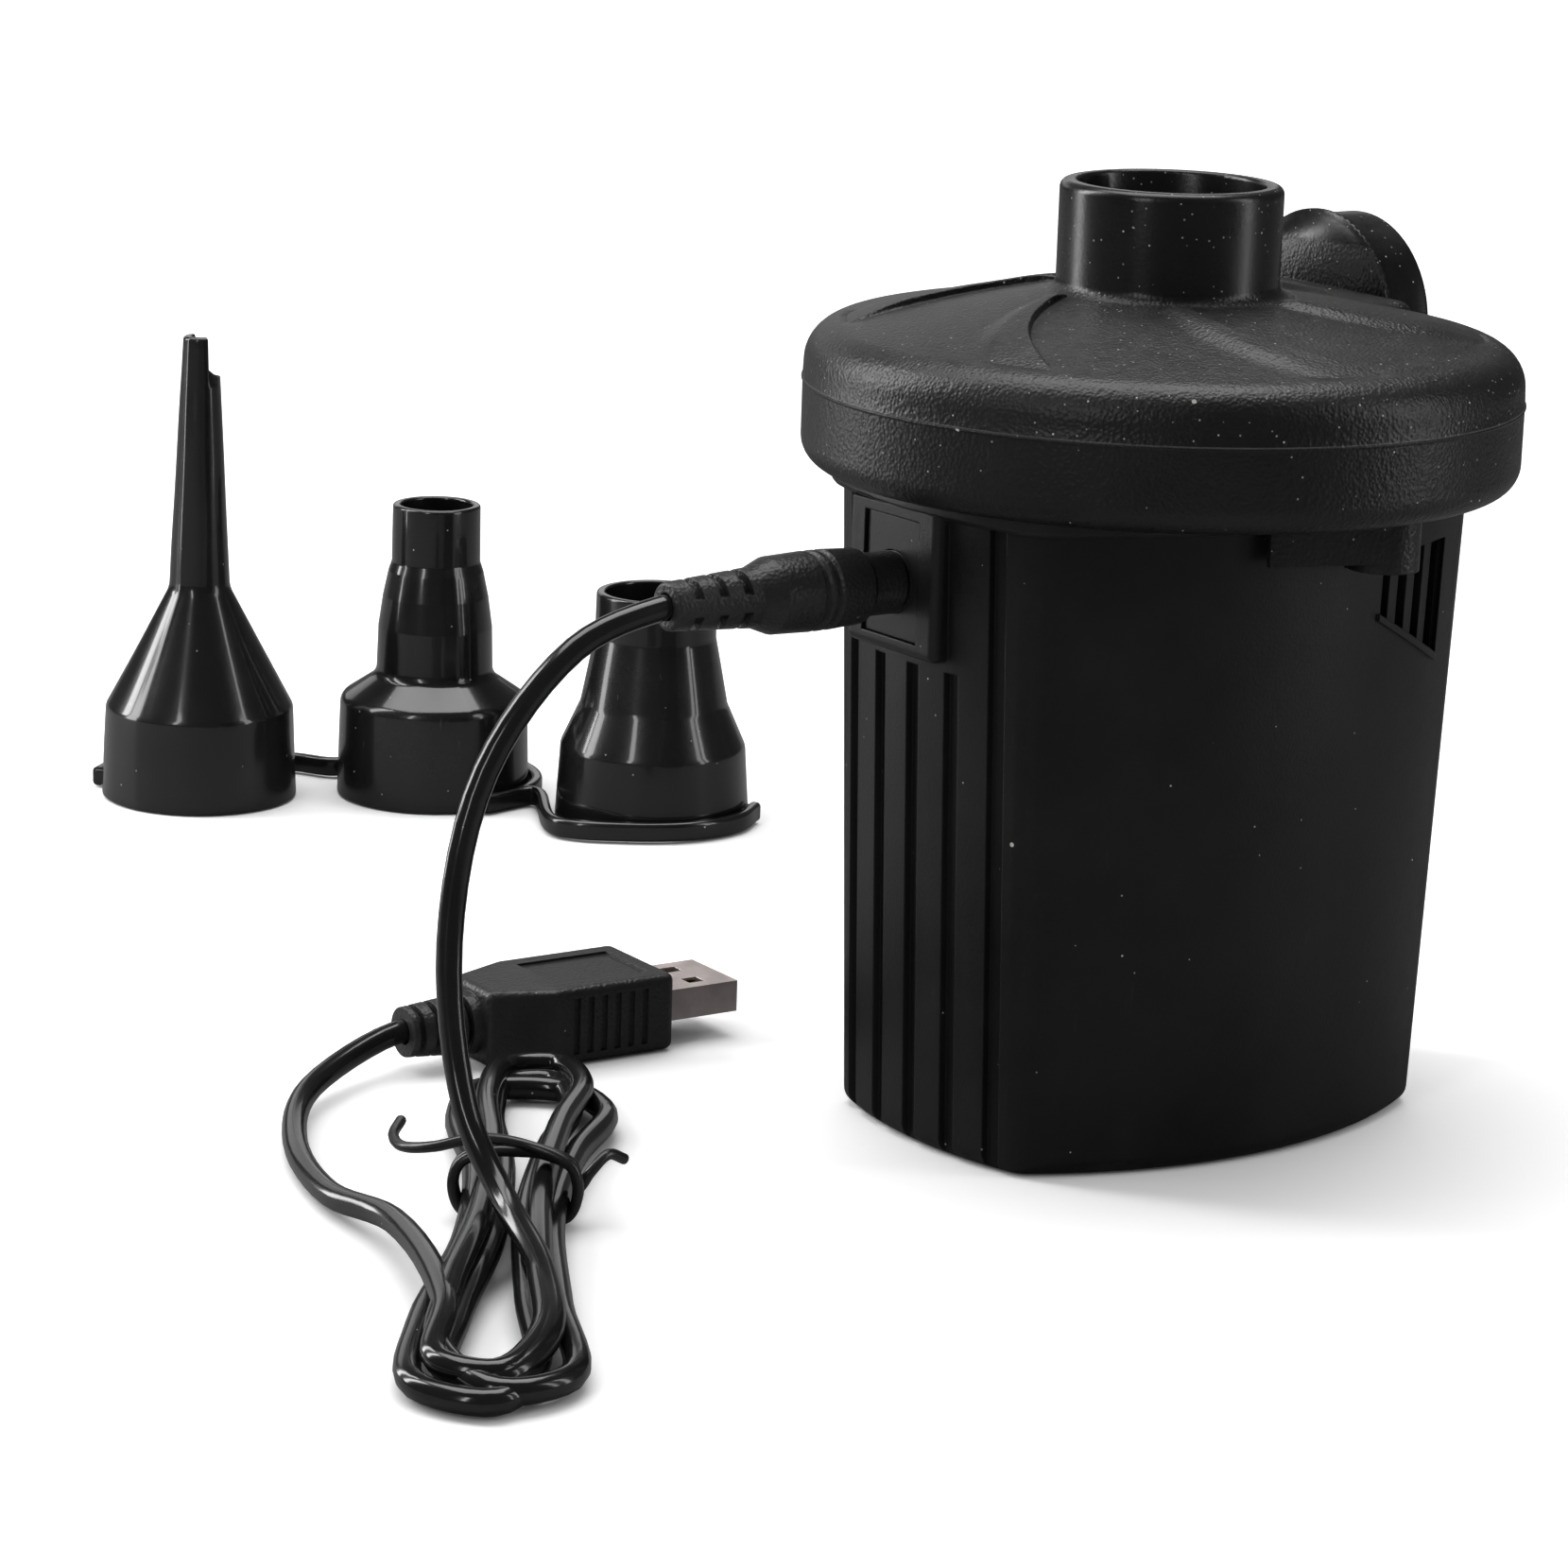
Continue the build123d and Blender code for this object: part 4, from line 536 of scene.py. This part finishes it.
medium_nozzle = nozzle("nozzle_medium", MEDIUM_OUTLINE, MEDIUM_AT, seed=1.0)
large_nozzle = nozzle("nozzle_large", LARGE_OUTLINE, LARGE_AT, seed=2.3)
needle_nozzle = nozzle("nozzle_needle", NEEDLE_OUTLINE, NEEDLE_AT, seed=3.1, longest=1.5)
cut_tip(needle_nozzle)
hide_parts("medium_adapter")
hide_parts("large_adapter")
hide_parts("needle_adapter")

# ---------------------------------------------------------------- tether strap
STRAP_R = 17.35
STRAP_Z = 1.75
STRAP_END = -52   # angle on the medium nozzle where the two straps meet
# stations of (nozzle centre, angle from u, distance outside STRAP_R)
LEFT_STRAP = [
    (NEEDLE_AT, 178, 0.0), (NEEDLE_AT, 150, 0.2), (NEEDLE_AT, 118, 0.3), (NEEDLE_AT, 84, 1.2),
    (NEEDLE_AT, 52, 4.5), (MEDIUM_AT, 160, 1.6), (MEDIUM_AT, 128, 0.1),
    *[(MEDIUM_AT, angle, 0.1) for angle in (100, 70, 40, 10, -20, STRAP_END)]]
RIGHT_STRAP = [
    (MEDIUM_AT, STRAP_END, 0.1), (MEDIUM_AT, -20, 1.8), (LARGE_AT, -128, 4.5),
    (LARGE_AT, -96, 1.2), (LARGE_AT, -62, 0.3), (LARGE_AT, -30, 0.2), (LARGE_AT, -2, 0.0)]
TABS = [(NEEDLE_AT, 172), (MEDIUM_AT, 128), (MEDIUM_AT, STRAP_END), (LARGE_AT, -8)]
TAB_START_R, TAB_END_R = 15.9, 17.6


def around(centre, degrees, radius):
    angle = radians(degrees)
    offset = place(radius * cos(angle), radius * sin(angle))
    return (centre[0] + offset[0], centre[1] + offset[1], STRAP_Z)


def strap(name, stations):
    path = catmull([around(c, angle, STRAP_R + out) for c, angle, out in stations], 10)
    section = rounded_box(height=3.2, width=1.9, radius=0.75)
    return sweep_section(name, path, section, "nozzle", "nozzle_set", upright=True)


left_strap = strap("tether_strap", LEFT_STRAP)
strap("tether_strap_b", RIGHT_STRAP)
for i, (centre, angle) in enumerate(TABS):
    tab_start = Vector(around(centre, angle, TAB_START_R))
    tab_end = Vector(around(centre, angle, TAB_END_R))
    sweep_section("tether_tab_%d" % i, [tab_start, (tab_start + tab_end) / 2, tab_end],
                  rounded_box(height=2.4, width=4.2, radius=0.5), "nozzle", "nozzle_set",
                  upright=True)
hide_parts("adapter_tether")

# ---------------------------------------------------------------- head cover and lid relief
CONE_TOP_R, CONE_TOP_Z = 14.7, 111.5
CONE_FOOT_R, CONE_FOOT_Z = 47.25, 105.3
RELIEF_IN_R, RELIEF_OUT_R, RELIEF_RINGS = 16.0, 44.4, 56
RELIEF_H = 0.92
ARMS = 6
# degrees behind an arm's leading edge, dense at the step
BEHIND = [-0.9, -0.55, -0.3, -0.1, 0.1, 0.35, 0.7, 1.5, 3, 4.5, 6, 7.5, 9, 10.5, 12, 13.5,
          15, 17, 19, 22, 26, 31, 37, 43, 49, 54, 57.5]


def lid_z(r):
    """Height of the moulded cone under the relief."""
    slope = (CONE_FOOT_Z - CONE_TOP_Z) * (r - CONE_TOP_R) / (CONE_FOOT_R - CONE_TOP_R)
    return CONE_TOP_Z + slope


def cover_skin():
    """Copy of the cover with its plain arms laid flat, to carry the swept relief."""
    mesh = NODES["top_cover"].data.copy()
    mesh.name = "cover_skin"
    bm = bmesh.new()
    bm.from_mesh(mesh)
    bmesh.ops.remove_doubles(bm, verts=bm.verts, dist=1e-6)
    for vert in bm.verts:
        x, y, z = (c / MM for c in vert.co)
        r = hypot(x, y)
        on_duct = x > 19.5 and 3.0 < y < 46.5
        if 17.0 < r < 42.3 and z > lid_z(r) + 0.06 and not on_duct:
            vert.co.z = (lid_z(r) - 0.02) * MM
    bmesh.ops.dissolve_degenerate(bm, dist=2e-6, edges=bm.edges)
    bmesh.ops.recalc_face_normals(bm, faces=bm.faces)
    bm.to_mesh(mesh)
    bm.free()
    shade_smooth(mesh, CAD_SHARP)
    skin = add_object("cover_skin", mesh)
    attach(skin, "housing")
    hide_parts("top_cover")


def step_height(behind, width):
    """Share of the relief height: a steep leading side, a flat top and a soft fall."""
    if behind < 0.1:
        return smoothstep(behind + 0.9)
    if behind < width:
        return 1.0 - 0.05 * (behind / width)
    return 0.95 * (1 - smoothstep(min(1.0, (behind - width) / 7.0)))


def lid_relief():
    """Six swept steps over the cone, left out over the outlet duct."""
    verts, faces = [], []
    for i in range(RELIEF_RINGS + 1):
        r = RELIEF_IN_R + (RELIEF_OUT_R - RELIEF_IN_R) * i / RELIEF_RINGS
        width = 3.0 + 7.5 * (r - 17.5) / 28.1
        fade = smoothstep(min(1.0, max(0.0, (RELIEF_OUT_R - r) / 11.0)))
        top = RELIEF_H * (0.35 + 0.65 * min(1.0, (r - 15.6) / 3.0)) * fade
        inner = min(1.0, r - RELIEF_IN_R)
        # the rims dip under the cone so that no gap shows
        rims = 0.035 * fade * inner - 0.15 * (1 - inner) - 0.2 * (1 - min(1, fade * 3))
        # the arms are taken by falling angle, like the columns within each
        for arm in (0, 5, 4, 3, 2, 1):
            leading = -64.0 + 360.0 / ARMS * arm + 35.0 * (r - RELIEF_IN_R) / 26.0
            for behind in BEHIND:
                angle = radians(leading - behind)
                z = lid_z(r) + rims + top * step_height(behind, width)
                verts.append((r * cos(angle), r * sin(angle), z))
    columns = len(BEHIND) * ARMS
    for i in range(RELIEF_RINGS):
        for j in range(columns):
            n = (j + 1) % columns
            face = (i * columns + j, (i + 1) * columns + j, (i + 1) * columns + n,
                    i * columns + n)
            middle = sum((Vector(verts[k]) for k in face), Vector((0, 0, 0))) / 4
            if not (middle.x > 33.0 and 3.0 < middle.y < 44.0):
                faces.append(face)
    add_mesh("lid_relief", verts, faces, "head_cover", "housing", sharp_degrees=60.0)


cover_skin()
lid_relief()

# ---------------------------------------------------------------- lead
FAR_U, FAR_V = -80.0, -8.0         # ends of the bundle's centre line
NEAR_U, NEAR_V = -70.0, -132.0
BUNDLE_L = hypot(NEAR_U - FAR_U, NEAR_V - FAR_V)
CABLE_R = 1.65
EXIT_Y, EXIT_Z = 2.75, 75.6        # where the lead leaves the pump
PLUG_U, PLUG_V, PLUG_Z = -77.0, 12.0, 5.6
PLUG_ANGLE = radians(38.0)
FIRST_PHI, LAST_PHI = 0.31, 3.69   # turns of the coil
PHI_STEPS = 132
BLEND = 0.13                       # part of a turn on each side of the near end

# one row per turn: side shift, lift, extra length at the near and far ends, extra half width
TURNS = [(0.1, 3.1, -3.5, 0.0, -0.6),
         (-1.68, 0.0, 0.5, -1.0, 0.2),
         (1.66, 0.05, 4.5, -5.0, 2.4),
         (0.05, 2.95, -5.0, 2.0, -1.4),
         (-0.6, 3.1, 1.5, -3.0, 0.6)]


def bundle_point(t, side, z):
    """Point beside the bundle's centre line: t is 0 at the far end and 1 at the near end."""
    return place(FAR_U + (NEAR_U - FAR_U) * t + side, FAR_V + (NEAR_V - FAR_V) * t, z)


def turn_values(phi):
    """Row of TURNS at phi, blended with its neighbour across the near end."""
    turn = math.floor(phi - 0.5) + 1
    to_next = phi - (turn + 0.5)
    since_last = phi - (turn - 0.5)
    if to_next > -BLEND:
        other = TURNS[turn + 1]
        weight = (to_next + BLEND) / (2 * BLEND)
    elif since_last < BLEND:
        other = TURNS[turn - 1]
        weight = 1 - (since_last + BLEND) / (2 * BLEND)
    else:
        return TURNS[turn]
    weight = smoothstep(weight)
    return tuple(p * (1 - weight) + q * weight for p, q in zip(TURNS[turn], other))


def coil_point(phi):
    """Point on the coil. A whole number of phi is the far end, a half is the near end."""
    shift, rise, near_extra, far_extra, width_extra = turn_values(phi)
    x, y = cos(2 * pi * phi), sin(2 * pi * phi)
    along = x * (BUNDLE_L / 2 - 2.5 + (far_extra if x > 0 else near_extra))
    t = 0.5 - along / BUNDLE_L
    endness = abs(x)
    # narrow at the waist, wider towards the ends, closing in a round loop
    width = 3.36 + (6.9 + width_extra) * endness ** 2.0
    if endness > 0.62:
        width *= max(0.0, 1 - ((endness - 0.62) / 0.38) ** 2) ** 0.5
    side = (width if y > 0 else -width) + max(-1.0, min(1.0, y * 2.2)) * shift
    arch = 1.45 * sin(pi * min(1, max(0, t)))
    z = CABLE_R + 0.05 + rise * (0.55 + 0.45 * (1 - endness ** 3)) + arch
    seed = Vector((phi * 2.3, 3.7, 0.5))
    side += 0.8 * noise.noise(seed) * endness * endness
    z += 0.3 * abs(noise.noise(seed + Vector((9, 1, 2)))) * endness
    return bundle_point(t, side, z)


def plug_point(along):
    """Point on the plug's axis."""
    return place(PLUG_U + along * cos(PLUG_ANGLE), PLUG_V + along * sin(PLUG_ANGLE), PLUG_Z)


# from the pump down to the bundle: x, y, z, then u, v, z
LEAD_START = [
    Vector((-66.5, EXIT_Y, EXIT_Z)), Vector((-72.0, EXIT_Y, EXIT_Z)),
    Vector((-77.5, EXIT_Y, EXIT_Z - 0.2)),
    place(-70.5, -55.8, 71.6), place(-80.2, -64.2, 57.5), place(-83.6, -69.0, 37.0),
    place(-80.5, -74.5, 17.5), place(-74.8, -81.5, 9.0)]
# from the bundle to the plug: u, v, z, then along the plug
LEAD_END = [
    place(-88.5, -79.0, 4.2), place(-99.0, -64.0, 2.0), place(-107.0, -44.0, 1.9),
    place(-108.5, -24.0, 3.0), plug_point(-29.5), plug_point(-25.0), plug_point(-16.0)]
# every third step of the coil is enough for the curve
coil = [coil_point(FIRST_PHI + (LAST_PHI - FIRST_PHI) * i / PHI_STEPS)
        for i in range(1, PHI_STEPS, 3)]
lead = sweep_section("lead_run", catmull(LEAD_START + coil + LEAD_END, 6), circle(CABLE_R, 20),
                     "lead_jacket", "lead")
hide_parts("usb_cable")

# ---------------------------------------------------------------- twist tie
TIE_AT = 0.45        # along the bundle
TIE_R = 0.72
# stations of (shift along the bundle, side, z) for the two ends of the wire
TIE_START = [(-0.05, 13.4, 6.6), (-0.03, 11.4, 7.9), (-0.012, 9.3, 6.2)]
TIE_TAIL = [(0.02, 7.9, 5.0), (0.02, 6.9, 8.2), (0.01, 1.5, 10.1), (-0.01, -5.0, 9.9),
            (-0.02, -10.5, 8.1), (-0.05, -14.6, 6.6), (-0.11, -16.6, 5.6), (-0.17, -16.2, 5.2)]
# one turn around the bundle: side, z
TIE_LOOP = [(7.9, 4.3), (7.0, 7.3), (3.4, 8.9), (0.0, 9.1), (-3.4, 8.9), (-7.0, 7.3),
            (-7.9, 4.3), (-6.6, 1.2), (-2.5, 0.75), (2.5, 0.75), (6.6, 1.2)]


def twist_tie():
    """Coated wire wound twice around the bundle, the second turn a little higher."""
    turns = []
    for turn in range(2):
        for i, (side, z) in enumerate(TIE_LOOP):
            shift = -0.008 + 0.013 * (turn + i / len(TIE_LOOP))
            turns.append((shift, side, z + 0.1 * turn))
    points = [bundle_point(TIE_AT + shift, side, z)
              for shift, side, z in TIE_START + turns + TIE_TAIL]
    tie = sweep_section("tie_wire", catmull(points, 8), circle(TIE_R, 12), "tie", "lead")
    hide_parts("twist_tie")


twist_tie()

# ---------------------------------------------------------------- stage, in metres
CAMERA_AIM = (0.56659, 0.78820, -0.24024)
CAMERA_RIGHT = (0.8120, -0.5837, 0.0)
CAMERA_AT = (-0.4140, -0.4934, 0.20183)
CAMERA_ROLL = radians(1.855)
# level directions seen from the camera: away from it and to its right
AWAY = Vector((CAMERA_AIM[0], CAMERA_AIM[1], 0)).normalized()
RIGHT = Vector((AWAY.y, -AWAY.x, 0))
FLOOR_BEND, FLOOR_BEND_R, FLOOR_HALF_W = 1.6, 0.9, 4.0
FLOOR_DROP = 0.0002


def floor_paper():
    material, g, bsdf = new_material("floor_paper")
    position = g.node("TexCoord").outputs["Object"]
    mottle = g.noise(position, scale=6.0, detail=3.0)
    base = g.ramp(mottle, start=0.3, start_color=(0.86, 0.86, 0.86),
                  end=0.7, end_color=(0.89, 0.89, 0.89))
    ray = g.node("LightPath").outputs
    # painted reflection: glossy rays see the sheet darker, so the plastic mirrors a dim floor
    base = g.mix(ray["Is Glossy Ray"], base, (0.20, 0.20, 0.20))
    # The sheet glows for the camera only, so it reads white without lighting the plastic.
    # The glow grows with distance, and a painted contact shadow dims it where something stands
    # over the sheet.
    glow_from, glow_over, near_glow, added_glow, shade_power = 0.45, 0.9, 0.72, 0.9, 1.3
    reach = g.node("VectorMath", {0: position}, operation="LENGTH").outputs["Value"]
    away = g.math("DIVIDE", g.math("SUBTRACT", reach, glow_from), glow_over, clamp=True)
    glow = g.math("ADD", g.math("MULTIPLY", away, added_glow), near_glow)
    # painted contact shadow: ambient occlusion darkens the glow under and beside objects
    shade = g.node("AmbientOcclusion", {"Distance": 0.04}, samples=6).outputs["AO"]
    glow = g.math("MULTIPLY", glow, g.math("POWER", shade, shade_power))
    g.put(bsdf, {"Base Color": base, "Roughness": 0.75, "Specular IOR Level": 0.2,
                 "Emission Color": WHITE,
                 "Emission Strength": g.math("MULTIPLY", ray["Is Camera Ray"], glow)})
    return material


def floor():
    """Wide sheet that sweeps up far behind the object."""
    profile = [(-2.5, 0.0), (FLOOR_BEND, 0.0)]   # distance away from the camera, z
    for i in range(1, 13):
        angle = radians(90 * i / 12)
        profile.append((FLOOR_BEND + FLOOR_BEND_R * sin(angle),
                        FLOOR_BEND_R * (1 - cos(angle))))
    profile.append((FLOOR_BEND + FLOOR_BEND_R, 3.5))
    verts = []
    for distance, z in profile:
        for side in (-FLOOR_HALF_W, FLOOR_HALF_W):
            point = AWAY * distance + RIGHT * side
            verts.append((point.x, point.y, z - FLOOR_DROP))
    faces = [(2 * i, 2 * i + 1, 2 * i + 3, 2 * i + 2) for i in range(len(profile) - 1)]
    mesh = bpy.data.meshes.new("studio_floor")
    mesh.from_pydata(verts, [], faces)
    for polygon in mesh.polygons:
        polygon.use_smooth = True
    sheet = add_object("studio_floor", mesh)
    mesh.materials.append(floor_paper())


def area(name, right, back, up, aim_z, size, power):
    """Area light of (width, height) aimed at the z axis at aim_z."""
    light = bpy.data.lights.new(name, "AREA")
    light.shape = "RECTANGLE"
    light.size, light.size_y = size
    light.energy = power
    lamp = add_object(name, light)
    level = RIGHT * right + AWAY * back
    location = Vector((level.x, level.y, up))
    lamp.location = location
    aim = Vector((0, 0, aim_z)) - location
    lamp.rotation_euler = aim.to_track_quat("-Z", "Y").to_euler()
    lamp.visible_camera = False


def world():
    """White surroundings, bright to the camera and dim in reflections."""
    studio = bpy.data.worlds.new("studio")
    bpy.context.scene.world = studio
    studio.use_nodes = True
    g = Graph(studio.node_tree)
    ambient, glossy_change, camera_change = 0.34, -0.24, 1.45
    ray = g.node("LightPath").outputs
    dim = g.math("MULTIPLY_ADD", ray["Is Glossy Ray"], glossy_change, ambient)
    strength = g.math("MULTIPLY_ADD", ray["Is Camera Ray"], camera_change, dim)
    g.put(g.tree.nodes["Background"], {"Color": WHITE, "Strength": strength})


def camera():
    lens = bpy.data.cameras.new("camera")
    lens.sensor_width = 36.0
    lens.lens = 112.78264
    lens.clip_start, lens.clip_end = 0.05, 20.0
    made = add_object("camera", lens)
    aim = Vector(CAMERA_AIM).normalized()
    level = Vector(CAMERA_RIGHT).normalized()
    upward = level.cross(aim).normalized()
    right = level * cos(CAMERA_ROLL) + upward * sin(CAMERA_ROLL)
    up = -level * sin(CAMERA_ROLL) + upward * cos(CAMERA_ROLL)
    rows = [(right[i], up[i], -aim[i], CAMERA_AT[i]) for i in range(3)]
    made.matrix_world = Matrix((*rows, (0, 0, 0, 1)))
    bpy.context.scene.camera = made


floor()
area("key_left", right=-1.1, back=0.30, up=0.70, aim_z=0.08, size=(0.20, 1.0), power=12)
area("strip_right", right=1.25, back=-0.30, up=0.62, aim_z=0.08, size=(0.10, 1.0), power=2.6)
area("top", right=-0.1, back=0.35, up=1.35, aim_z=0.05, size=(1.3, 0.9), power=25)
area("front", right=-0.75, back=-1.2, up=0.75, aim_z=0.05, size=(0.16, 0.8), power=5)
area("back_low", right=-0.35, back=1.25, up=0.40, aim_z=0.11, size=(1.2, 0.34), power=1.5)
# low cards beside the object, for the upright walls to mirror
area("card_left", right=-0.34, back=0.12, up=0.18, aim_z=0.12, size=(0.055, 0.34), power=0.72)
area("card_right", right=0.34, back=-0.06, up=0.18, aim_z=0.12, size=(0.045, 0.34), power=0.34)
world()
camera()
bpy.context.scene.view_settings.view_transform = "Standard"
bpy.context.scene.view_settings.exposure = -0.75
